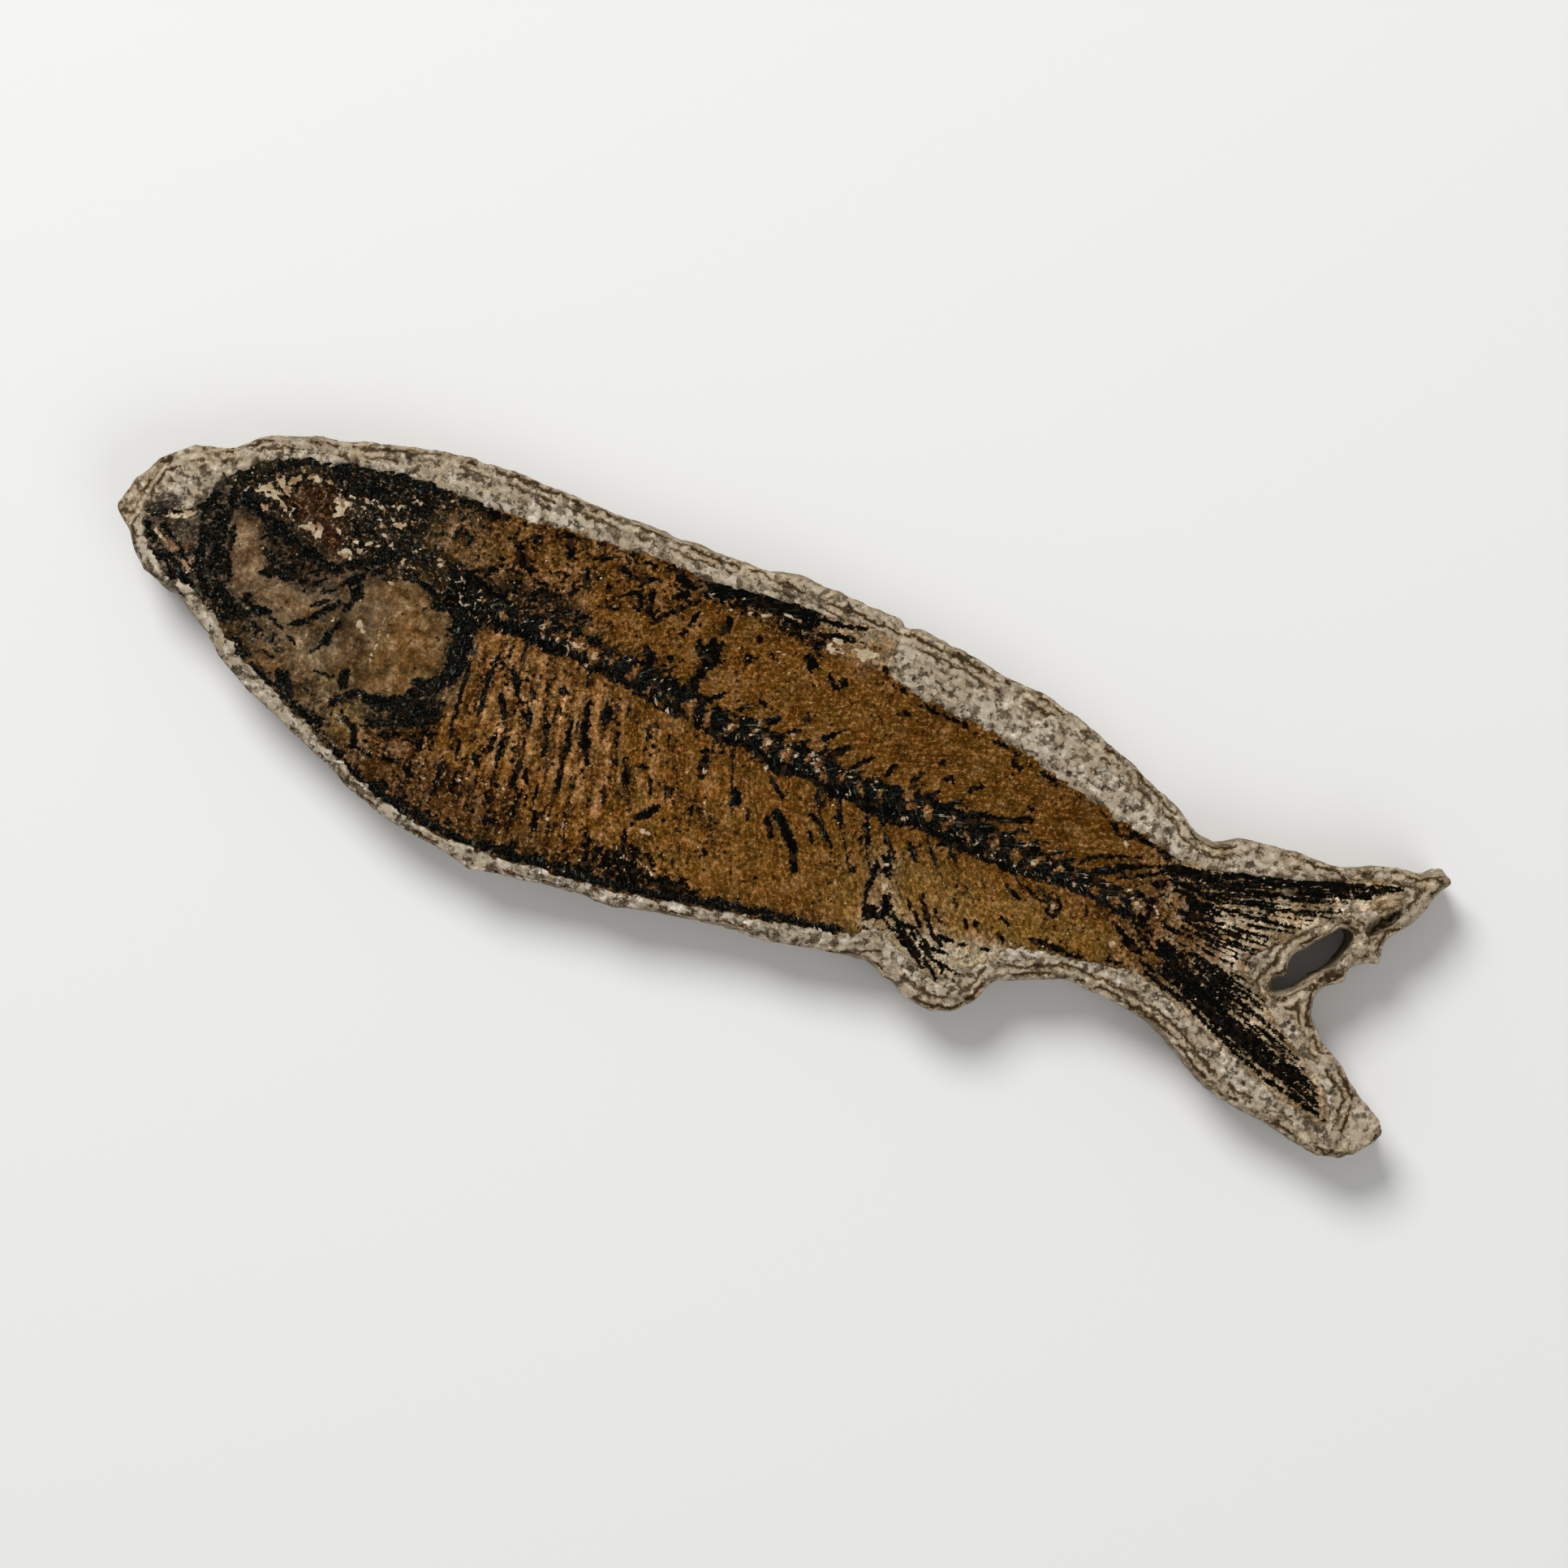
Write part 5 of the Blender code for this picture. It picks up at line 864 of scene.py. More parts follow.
def paint_fans(dark, relief):
    """Fin rays: each a thin low ridge, black in jointed lengths that get thinner to the tip."""
    for number, (roots, tips, count, strength, half) in enumerate(FANS):
        for index in range(count):
            share = (index + RAY_UNEVEN * float(noise(index * 3.3, number * 7.7))) / (count - RAY_ENDS)
            ray = [at_share(roots, share), at_share(tips, share)]
            i, j = window(ray, RAY_MARGIN)
            away, along = distance(*loosened(i, j, RAY_LOOSE), ray)
            length = math.dist(*ray)
            breaks = noise(along * length * RAY_BREAKS, index * 5.1, number * 4.3)
            joints = noise(along * length * RAY_JOINTS, index * 3.3, number * 2.1)
            left = smooth(*BREAKS_SHOW, breaks) * smooth(*JOINTS_SHOW, joints)
            waves = noise(along * length * RAY_WAVES, index * 2.1, 5.0)
            width = half * (RAY_WIDE + RAY_WIDER * waves) * (RAY_ROOT - RAY_TIP * along)
            mark = np.clip(0.5 + (width - away) / RAY_EDGE, 0.0, 1.0)
            rooted = ROOT_FAINT + (1 - ROOT_FAINT) * smooth(*ROOT_SHOWS, along)
            mark *= strength * (RAY_FAINT + RAY_STRONG * left) * rooted
            dark[i, j] = np.maximum(dark[i, j], mark)
            away, along = distance(X[i, j], Y[i, j], ray)
            relief[i, j] = np.maximum(relief[i, j], RAY_HEIGHT * half_round(away, RAY_HALF))


# Scutes: the ends of the ridge and of the black of each, from its place, and the width and strength of both.
SCUTE_RIDGE, RIDGE_SIZE = [(-0.6, 0.85), (0.6, 0.8)], (0.5, 0.16)
SCUTE_BLACK, BLACK_SIZE = [(-0.4, 1.0), (0.5, 0.9)], (0.6, 0.8)
SCUTE_START, SCUTE_END = 0.7, 0.4


def paint_scutes(dark, ridges):
    """The keeled plates on the belly's edge: a short ridge each, with black bone on it."""
    for index in range(SCUTE_COUNT):
        x, y = at_share(BELLY_EDGE, (index + SCUTE_START) / (SCUTE_COUNT + SCUTE_END))
        stroke(ridges, [(x + a, y + b) for a, b in SCUTE_RIDGE], *RIDGE_SIZE)
        stroke(dark, [(x + a, y + b) for a, b in SCUTE_BLACK], *BLACK_SIZE)


# The column: the share of its width and height at the discs, how both grow from there, the hollow in each
# vertebra, and the whole.
DISC_WAIST, DISC_HEIGHT, WAIST_CURVE, HEIGHT_CURVE = 0.72, 0.72, 0.5, 0.6
SPOOL_HOLLOW, SPOOL_MIDDLE = 0.10, 0.16
COLUMN_UNEVEN, COLUMN_ROUGH, COLUMN_HEIGHT = 0.25, 0.7, 0.50


def paint_column():
    """The vertebrae: a lumpy spool each, lower at the discs between them."""
    share = (X - COLUMN_START) / VERTEBRA_PITCH
    within = share - np.floor(share)
    taper = 1.0 - TAIL_TAPER * np.clip(share / COLUMN_COUNT, 0, 1)
    arch = np.sin(np.pi * within)
    waist = DISC_WAIST + (1 - DISC_WAIST) * arch ** WAIST_CURVE
    waist -= SPOOL_HOLLOW * np.exp(-((within - 0.5) / SPOOL_MIDDLE) ** 2)
    radius = COLUMN_RADIUS * taper * waist * (1 + COLUMN_UNEVEN * hills("column width"))
    height = COLUMN_HEIGHT * taper * half_round(Y - at_x(COLUMN_PATH, X), radius)
    height *= DISC_HEIGHT + (1 - DISC_HEIGHT) * arch ** HEIGHT_CURVE
    height *= 1 + COLUMN_ROUGH * hills("column top")
    return np.where((share > 0) & (share < COLUMN_COUNT), height, 0.0)


# Colour and height of the film

def skin_colours():
    """The skin's own colour: greyer at the front of the back, warmer at the belly, darker to the tail."""
    colour = np.array(srgb(*PIECES["body_skin"][1])) * np.ones(X.shape + (3,))
    for other, along, up in SKIN_COLOURS:
        share = (smooth(*along, X) * smooth(*up, Y))[..., None]
        colour = colour * (1 - share) + np.array(srgb(*other)) * share
    return colour * (1 + SKIN_UNEVEN * hills("skin")[..., None])


def blend_tones(labels):
    """Each piece's colour, run into the next one's, and the areas that differ from it."""
    tone, weight = np.zeros(X.shape + (3,)), np.zeros(X.shape)
    for number, name in enumerate(NAMES):
        colour = skin_colours() if name == "body_skin" else np.array(srgb(*PIECES[name][1]))
        near = blur(to_corners(labels == number), WIDE_BLEND if name in BLENDED else NARROW_BLEND)
        tone += near[..., None] * colour
        weight += near
    tone /= np.maximum(weight, 1e-6)[..., None]
    for red, green, blue, soft, *outline in TONES:
        share = np.zeros(X.shape)
        area(share, pairs(outline), 1.0, soft)
        tone += share[..., None] * (np.array(srgb(red, green, blue)) - tone)
    return tone


# How many small black specks there are: everywhere, more to the front, fewer on the tail, and how unevenly.
SPECKLED, SPECKLED_FRONT, SPECKLED_TAIL, SPECKLED_UNEVEN, SPECKLED_STRIPES = 0.25, 0.06, 0.14, 0.28, 0.04
TO_FRONT, TO_TAIL = (6.0, -12.0), (38.0, 42.0)
# What the noises add to the dark bone. The head and the striped front have less grit and more of their own.
DARK_LUMPS, DARK_GRIT, LESS_GRIT, DARK_BLOTS = 0.30, 0.85, 0.3, 1.5
DARK_THREADS, MORE_THREADS, DARK_STREAKS = 0.25, 0.25, 0.5
# Black along the film's edge: how much, how uneven, and where across the edge.
FRINGE, FRINGE_UNEVEN, FRINGE_BLUR, FRINGE_MIDDLE, FRINGE_WIDE = 0.30, 2.0, 40, 0.72, 0.16
# Single dark specks, and pale flecks that are partly calcite and partly painted glints of the bone: how many
# of the places have one, and how strong it is.
SPECK_SHARE, SPECK_STRENGTH, SPECK_HEIGHT = 0.004, 0.55, 3.0
FLECK_AND_GLINT_SHARE, FLECK_AND_GLINT_STRENGTH, FLECK_AND_GLINT_VARIES = 0.006, 0.42, 0.3
# What the noises add to the pale calcite.
PALE_BASE, PALE_LUMPS, PALE_GRIT, PALE_CALCITE = 0.10, 0.25, -0.5, 0.8
# The blots of the head lie along this slant.
SLANT = (0.94, 0.34)


def break_up(dark, pale, labels, pocket, fins):
    """Breaks the marks up into grit, threads and specks, and blackens the film's edge."""
    plates = cover(labels, PLATES, PLATE_BLUR)
    speckled = SPECKLED + SPECKLED_FRONT * smooth(*TO_FRONT, X) - SPECKLED_TAIL * smooth(*TO_TAIL, X)
    speckled += SPECKLED_UNEVEN * hills("speckles")
    speckled -= PLATE_LESS * plates
    dark = np.maximum(dark, speckled + SPECKLED_STRIPES * FRONT)
    blots = hills("blots", X * SLANT[0] + Y * SLANT[1], Y * SLANT[0] - X * SLANT[1])
    grit = DARK_GRIT - LESS_GRIT * HEAD - LESS_GRIT * FRONT
    dark += DARK_LUMPS * LUMPS + grit * GRIT + DARK_BLOTS * HEAD * (1 - plates) * blots
    dark += (DARK_THREADS + MORE_THREADS * FRONT) * THREADS + DARK_STREAKS * FRONT * STREAKS
    fringe = FRINGE + FRINGE_UNEVEN * hills("fringe")
    at_edge = np.exp(-((blur(to_corners(pocket), FRINGE_BLUR) - FRINGE_MIDDLE) / FRINGE_WIDE) ** 2)
    dark += fringe * (1 - fins) * at_edge
    dark += SPECK_STRENGTH * blur((RANDOM.random(X.shape) < SPECK_SHARE) * SPECK_HEIGHT, 1)
    pale += PALE_BASE + PALE_LUMPS * LUMPS + PALE_GRIT * GRIT + PALE_CALCITE * hills("calcite")
    # Pale flecks, partly calcite and partly painted glints.
    flecks = FLECK_AND_GLINT_STRENGTH + FLECK_AND_GLINT_VARIES * RANDOM.random(X.shape)
    pale += flecks * (RANDOM.random(X.shape) < FLECK_AND_GLINT_SHARE)
    return dark, pale


# The grain in the film's brightness: what each noise adds, and what the stripes of the front take away.
GRAIN, WIDE_GRAIN, GRAIN_THREADS, HEAD_GRAIN = 3.4, 1.0, 0.8, 1.4
DARK_STRIPES, PALE_STRIPES = 2.0, 3.4
# How the noises move its colour: red, green and blue.
WARMTH, WARM_STRENGTH = (0.5, 0.0, -0.9), 0.6
REDNESS, RED_STRENGTH = (0.5, -0.2, -0.7), 0.7
HEAD_DEEPENED = 0.5


def grain_tones(tone, dark, fins):
    """Gives the colours their grain, and fades its palest and deepens its darkest parts."""
    grain = GRAIN * hills("grain") + WIDE_GRAIN * hills("wide grain")
    grain += (GRAIN_THREADS + GRAIN_THREADS * FRONT) * THREADS
    grain -= FRONT * (DARK_STRIPES * np.minimum(STREAKS, 0) + PALE_STRIPES * np.maximum(STREAKS, 0))
    grain += HEAD_GRAIN * HEAD * hills("head grain")
    grain *= 1 - CALMER * smooth(*CALM_FRONT, X) * smooth(*CALM_REAR, X)
    warm = hills("warmth")[..., None] * np.array(WARMTH)
    redder = hills("redness")[..., None] * np.array(REDNESS)
    tone = tone * np.exp(grain)[..., None] * (1 + WARM_STRENGTH * warm + RED_STRENGTH * redder)
    hue = np.array(FADED) + HEAD[..., None] * (np.array(FADED_HEAD) - np.array(FADED))
    hue += fins[..., None] * (np.array(FADED_FINS) - hue)
    tone += np.clip(grain, 0.0, MOST_FADED)[..., None] * (tone.mean(axis=2)[..., None] * hue - tone)
    deepened = np.clip(-grain, 0.0, MOST_FADED) * (1 - HEAD_DEEPENED * HEAD)
    tone *= 1 - deepened[..., None] * np.array(DEEPENED)
    return tone * (1 - HALO * (smooth(*HALO_SHOWS, dark) * (1 - fins))[..., None])


# The film's edge: its blur, how ragged it is and how much less at the fins, and where the film starts.
FILM_BLUR, FILM_RAGGED, FINS_LESS, FILM_STARTS = 16, 1.25, 0.7, (0.40, 0.72)
RIDGE_SHARE, RIDGE_SOFT, BLACK_RISE, BLACK_SHOWS = 0.7, 0.35, 0.04, (0.42, 0.7)
TOP_ROUGH, TOP_GRIT, TOP_THREADS = 0.05, 0.10, 0.05
DOME_BASE, DOME_UNEVEN = 0.8, 0.5


def build_relief(labels, pocket, rim):
    """The film's height, the bones' height over it, and the marks and colours."""
    fins = cover(labels, FINS, FIN_BLUR)
    edge = blur(to_corners(pocket), FILM_BLUR) + (FILM_RAGGED - FINS_LESS * fins) * hills("film edge")
    lift = smooth(*FILM_STARTS, edge)
    thickness = EDGE_DEPTH + FILM_RISE * (1 - (1 - FIN_SHARE) * fins)
    film = stone_surface(X, Y, rim) - EDGE_DEPTH + thickness * lift
    rise, seam = np.zeros(X.shape), np.zeros(X.shape)
    for number, name in enumerate(NAMES):
        mine = to_corners(labels == number)
        rise += blur(mine, RISE_BLUR) * PIECES[name][2]
        if name in SEAMED:
            near = blur(mine, SEAM_BLUR)
            seam = np.maximum(seam, 4 * near * (1 - near))
    dark, pale, rusty = paint_marks()
    tone = blend_tones(labels)
    tone += VERTEBRA_STRENGTH * rusty[..., None] * (np.array(VERTEBRA_BROWN) - tone)
    rays, ridges, rows = np.zeros(X.shape), np.zeros(X.shape), np.zeros(X.shape)
    paint_fans(dark, rays)
    for width, height, *path in RIDGES:
        stroke(ridges, pairs(path), width, height, soft=RIDGE_SOFT)
    paint_scutes(dark, ridges)
    paint_rows(dark, rows)
    dark, pale = break_up(dark, pale, labels, pocket, fins)
    tone = grain_tones(tone, dark, fins)
    black, groove = smooth(*BLACK_SHOWS, dark), smooth(*SEAM_SHOWS, seam)
    film += lift * (rise + RIDGE_SHARE * ridges + rays + BLACK_RISE * black - SEAM_DEPTH * groove)
    film += lift * (TOP_ROUGH * hills("film top") + TOP_GRIT * GRIT + TOP_THREADS * THREADS)
    eye_x, eye_y = (X - EYE_CENTRE[0]) / EYE_HALF_WIDTH, (Y - EYE_CENTRE[1]) / EYE_HALF_HEIGHT
    dome = np.sqrt(np.clip(1 - eye_x ** 2 - eye_y ** 2, 0, 1))
    film += dome * EYE_RISE * (DOME_BASE + DOME_UNEVEN * hills("eye top"))
    return dict(film=film, bones=np.maximum(paint_column(), rows), dark=dark, pale=pale, tone=tone, lift=lift)


# Meshes

def new_mesh_object(name, points, faces):
    """A mesh from an array of points in millimetres and a list of faces."""
    mesh = bpy.data.meshes.new(name)
    mesh.from_pydata((points * MM).tolist(), [], faces)
    mesh.update()
    made = bpy.data.objects.new(name, mesh)
    bpy.context.scene.collection.objects.link(made)
    return made


def give(mesh, name, values, kind="FLOAT", key="value"):
    """Adds an attribute with a value to each point."""
    mesh.attributes.new(name, kind, "POINT").data.foreach_set(key, values.astype(np.float32).ravel())


# The four sides of a cell: the way to the next cell, and the two corners of that side.
CELL_SIDES = [
    ((0, -1), (0, 0), (1, 0)), ((1, 0), (1, 0), (1, 1)), ((0, 1), (1, 1), (0, 1)), ((-1, 0), (0, 1), (0, 0)),
]


def relief_piece(name, cells, top, floor, fields):
    """A closed piece over some cells: the relief on top, straight sides, a flat underside of long strips."""
    i, j = np.nonzero(cells)
    padded = np.pad(cells, 1)
    count = padded[:-1, :-1].astype(int) + padded[1:, :-1] + padded[:-1, 1:] + padded[1:, 1:]
    used = count > 0
    rim = used & (count < 4)
    corner, under = np.full(count.shape, -1), np.full(count.shape, -1)
    corner[used] = np.arange(used.sum())
    under[rim] = used.sum() + np.arange(rim.sum())
    top_points = np.stack([X[used], Y[used], top[used]], axis=1)
    rim_points = np.stack([X[rim], Y[rim], np.full(rim.sum(), floor)], axis=1)
    around = [corner[i, j], corner[i + 1, j], corner[i + 1, j + 1], corner[i, j + 1]]
    faces = np.stack(around, axis=1).tolist()
    for way, first, second in CELL_SIDES:
        open_side = ~padded[i + 1 + way[0], j + 1 + way[1]]
        a, b = i[open_side], j[open_side]
        p, q = (a + first[0], b + first[1]), (a + second[0], b + second[1])
        faces.extend(np.stack([under[p], under[q], corner[q], corner[p]], axis=1).tolist())
    for row in range(Y_CELLS):
        line = np.nonzero(np.diff(np.pad(cells[:, row].astype(int), 1)))[0]
        for start, end in zip(line[::2], line[1::2]):
            near, far = ([int(k) for k in under[start:end + 1, row + side] if k >= 0] for side in (0, 1))
            faces.append(far + near[::-1])
    made = new_mesh_object(name, np.concatenate([top_points, rim_points]), faces)
    made.data.shade_smooth()

    def at_points(field):
        return np.concatenate([field[used], field[rim]])

    for key in ("dark", "pale", "lift"):
        give(made.data, key, at_points(fields[key]))
    fibres = np.stack([ACROSS, ALONG, np.zeros(X.shape)], axis=2)
    give(made.data, "fibre", at_points(fibres), "FLOAT_VECTOR", "vector")
    colours = np.pad(fields["tone"], ((0, 0), (0, 0), (0, 1)), constant_values=1.0)
    give(made.data, "tone", at_points(colours), "FLOAT_COLOR", "color")
    return made


# Materials

class Nodes:
    """Short ways to add shader nodes to one material."""

    def __init__(self, name, dimensions="3D"):
        self.dimensions = dimensions
        self.material = bpy.data.materials.new(name)
        self.material.use_nodes = True
        self.tree = self.material.node_tree
        self.shader = self.tree.nodes["Principled BSDF"]

    def put(self, node, inputs):
        for key, value in inputs.items():
            if isinstance(value, bpy.types.NodeSocket):
                self.tree.links.new(value, node.inputs[key])
            else:
                node.inputs[key].default_value = value

    def add(self, kind, inputs=(), **settings):
        node = self.tree.nodes.new(kind)
        for key, value in settings.items():
            setattr(node, key, value)
        self.put(node, dict(inputs))
        return node

    def attribute(self, name, output="Fac"):
        return self.add("ShaderNodeAttribute", attribute_name=name).outputs[output]

    def stretch(self, vector, size):
        return self.add("ShaderNodeVectorMath", {0: vector, 1: size}, operation="MULTIPLY").outputs["Vector"]

    def place(self):
        """Places on the object in millimetres."""
        return self.stretch(self.add("ShaderNodeTexCoord").outputs["Object"], (1 / MM, 1 / MM, 1 / MM))

    def noise(self, vector, scale, detail, roughness, output="Fac"):
        inputs = {"Vector": vector, "Scale": scale, "Detail": detail, "Roughness": roughness}
        return self.add("ShaderNodeTexNoise", inputs, noise_dimensions=self.dimensions).outputs[output]

    def cells(self, vector, scale, feature="F1", output="Distance"):
        inputs = {"Vector": vector, "Scale": scale}
        settings = dict(feature=feature, voronoi_dimensions=self.dimensions)
        return self.add("ShaderNodeTexVoronoi", inputs, **settings).outputs[output]

    def channels(self, colour):
        return self.add("ShaderNodeSeparateColor", {0: colour}).outputs

    def math(self, operation, *values):
        return self.add("ShaderNodeMath", dict(enumerate(values)), operation=operation).outputs[0]

    def times(self, first, *others):
        for other in others:
            first = self.math("MULTIPLY", first, other)
        return first

    def swing(self, noise, amount, rest):
        """The rest, plus how far a noise is from its middle, times an amount."""
        return self.math("MULTIPLY_ADD", self.math("SUBTRACT", noise, 0.5), amount, rest)

    def ramp(self, value, low, high, to_low=0.0, to_high=1.0):
        inputs = {"Value": value, "From Min": low, "From Max": high, "To Min": to_low, "To Max": to_high}
        return self.add("ShaderNodeMapRange", inputs, interpolation_type="SMOOTHSTEP").outputs["Result"]

    def mix(self, share, first, second, blend="MIX"):
        first, second = ((*c, 1.0) if isinstance(c, tuple) else c for c in (first, second))
        settings = dict(data_type="RGBA", blend_type=blend, clamp_factor=True)
        return self.add("ShaderNodeMix", {0: share, 6: first, 7: second}, **settings).outputs[2]

    def tint(self, colour, red, green, blue):
        """A colour times a shade for each of its channels."""
        shade = self.add("ShaderNodeCombineColor", {0: red, 1: green, 2: blue}).outputs[0]
        return self.mix(1.0, colour, shade, "MULTIPLY")

    def finish(self, colour, roughness, height, depth):
        """Sets the surface, with bumps as deep as the height times a depth in millimetres."""
        inputs = {"Height": height, "Distance": depth * MM, "Strength": BUMP_STRENGTH}
        normal = self.add("ShaderNodeBump", inputs).outputs["Normal"]
        self.put(self.shader, {"Base Color": colour, "Roughness": roughness, "Normal": normal})
        return self.material


BUMP_STRENGTH = 0.9
CREAM, FLECK_BROWN, FILM_PINK = srgb(196, 184, 156), srgb(140, 104, 68), srgb(172, 128, 86)
# The blue-grey grit of the black bone is partly its own colour and partly painted glints.
BONE_DARK, BONE_BLUE_AND_GLINT = srgb(5, 4, 2), srgb(33, 38, 35)
# Painted sheen: light grey-blue streaks painted into the black bone's colour as its highlights.
BONE_WARM, BONE_PAINTED_SHEEN = srgb(48, 31, 16), srgb(82, 84, 74)
FISH_SPECULAR, FISH_BUMP, FILM_ROUGHNESS = 0.01, 0.12, 0.78
# How many hairs there are to a millimetre across and along the fibres.
HAIRS = (3.6, 1.1, 1.0)
# Between which values of its noise each thing starts to show, and how strong it then is.
BLACK_BONE, PALE_FLECKS, PINK_FILM = (0.42, 0.63), (0.56, 0.66), (1.15, 2.1, 0.0, 0.45)
BLUE_AND_GLINT_BONE, WARM_BONE, PAINTED_SHEEN = (0.50, 0.66, 0.0), (0.75, 0.9, 0.0), (0.60, 0.72, 0.0)
SHADE_MIDDLE, BRIGHTEST = 0.49, 2.1
# What the hairs and the mosaic add to the black and to the pale, and what each noise adds to the shade.
HAIRY_BLACK, MOSAIC_BLACK, MOSAIC_PALE, HAIRY_PALE = 0.5, 0.20, 0.45, 0.8
FINE_SHADE, HAIR_SHADE, GRIT_SHADE = 3.2, 1.8, 1.6


# The blue sets the share of blue-grey grit, partly painted glints, and of painted sheen on the black.
def fish_material(name, blue, warm, gloss, grain=1.0, speckle=1.15):
    """Film and bone: a mark's strength plus fine noise decides where black, film and pale flecks show."""
    n = Nodes(name, "2D")
    n.shader.inputs["Specular IOR Level"].default_value = FISH_SPECULAR
    place = n.place()
    fine = n.noise(place, scale=2.5, detail=3.0, roughness=0.7)
    hair = n.noise(n.stretch(n.attribute("fibre", "Vector"), HAIRS), scale=1.0, detail=3.0, roughness=0.6)
    grit = n.noise(place, scale=4.6, detail=2.0, roughness=0.6)
    mosaic = n.channels(n.cells(place, scale=2.4, output="Color"))
    level = n.swing(fine, speckle, n.attribute("dark"))
    level = n.swing(mosaic[0], MOSAIC_BLACK, n.swing(hair, HAIRY_BLACK, level))
    black = n.ramp(level, *BLACK_BONE)
    light = n.swing(mosaic[1], MOSAIC_PALE, n.attribute("pale"))
    cream = n.ramp(n.swing(hair, HAIRY_PALE, light), *PALE_FLECKS)
    shade = n.times(n.math("SUBTRACT", SHADE_MIDDLE, fine), FINE_SHADE * grain)
    shade = n.swing(grit, GRIT_SHADE * grain, n.swing(hair, HAIR_SHADE * grain, shade))
    shade = n.math("MINIMUM", n.math("EXPONENT", shade), BRIGHTEST)
    film = n.tint(n.attribute("tone", "Color"), shade, shade, shade)
    film = n.mix(n.ramp(shade, *PINK_FILM), film, FILM_PINK)
    # Blue-grey grit, partly the bone's own colour and partly painted glints.
    bone = n.mix(n.ramp(grit, *BLUE_AND_GLINT_BONE, blue), BONE_DARK, BONE_BLUE_AND_GLINT)
    bone = n.mix(n.ramp(mosaic[2], *WARM_BONE, warm), bone, BONE_WARM)
    # Painted sheen: light grey-blue highlight streaks along the fibres.
    bone = n.mix(n.ramp(hair, *PAINTED_SHEEN, blue), bone, BONE_PAINTED_SHEEN)
    # Pale flecks in cream and brown, partly calcite and partly painted glints.
    colour = n.mix(cream, n.mix(black, film, bone), n.mix(mosaic[2], FLECK_BROWN, CREAM))
    return n.finish(colour, n.ramp(black, 0.0, 1.0, FILM_ROUGHNESS, gloss), fine, FISH_BUMP)


STONE_CREAM, STONE_WHITE, STONE_GREY = srgb(159, 142, 116), srgb(190, 178, 158), srgb(86, 71, 52)
STONE_TAN, STONE_BROWN, STONE_LINE = srgb(177, 162, 139), srgb(88, 73, 52), srgb(46, 35, 16)
STONE_CRACK, STONE_SPECK, STONE_STAIN = srgb(58, 47, 30), srgb(40, 34, 29), srgb(128, 102, 68)
STONE_SPECULAR, STONE_BUMP, BLOCK_SIZE, BLOCK_BEND = 0.15, 0.16, 0.62, (2.4, 2.4, 2.4)
# Thin layers on the sides: how they are stretched, and how far they stand out.
LAYER_HILLS, LAYER_BUMP, FINE_BUMP, MOTTLE_BUMP = (0.12, 0.12, 2.6), 1.4, 0.8, 1.3
# How the grey patches and the border of the inner zone wander with the waves.
PATCH_WAVES, ZONE_WAVES = -0.4, 3.0
# Lines round the rim, like the contours of a map: what shapes them, and their spacing.
CONTOUR_WAVES, CONTOUR_RIM, CONTOUR_MOTTLE, CONTOUR_GAP = 1.7, 1.15, 0.65, 0.5
CRACK_STRENGTH, LINE_STRENGTH, SPECK_SHADE, SIDE_CREAM = 0.8, 0.95, 0.85, 0.6
STONE_MIDDLE, GREENER, BLUER = 0.50, 1.13, 1.36
# For each thing: the two values of its noise between which it changes, and its strength at both.
STONE_SHOWS = {
    "crack": (0.025, 0.085, 1.0, 0.0), "cracked": (0.44, 0.56, 1.0, 0.0),
    "winding": (0.025, 0.070, 1.0, 0.0), "winding here": (0.40, 0.54, 1.0, 0.1),
    "inner zone": (1.2, 2.4, 1.0, 0.0), "grey": (0.39, 0.48, 0.85, 0.0), "brown": (0.33, 0.43, 0.7, 0.0),
    "tan": (0.3, 0.9), "line": (0.10, 0.22, 1.0, 0.0), "outer line": (0.0, 1.0, 0.35),
    "lined": (0.20, 0.45, 0.25), "stain": (0.12, 0.46, 0.95, 0.0), "speck": (0.61, 0.66),
    "specked": (0.46, 0.54), "layer": (0.42, 0.62, 0.0, 0.6), "contrast": (0.1, 0.9, 0.8, 3.4),
    "roughness": (0.3, 0.7, 0.82, 0.95),
}


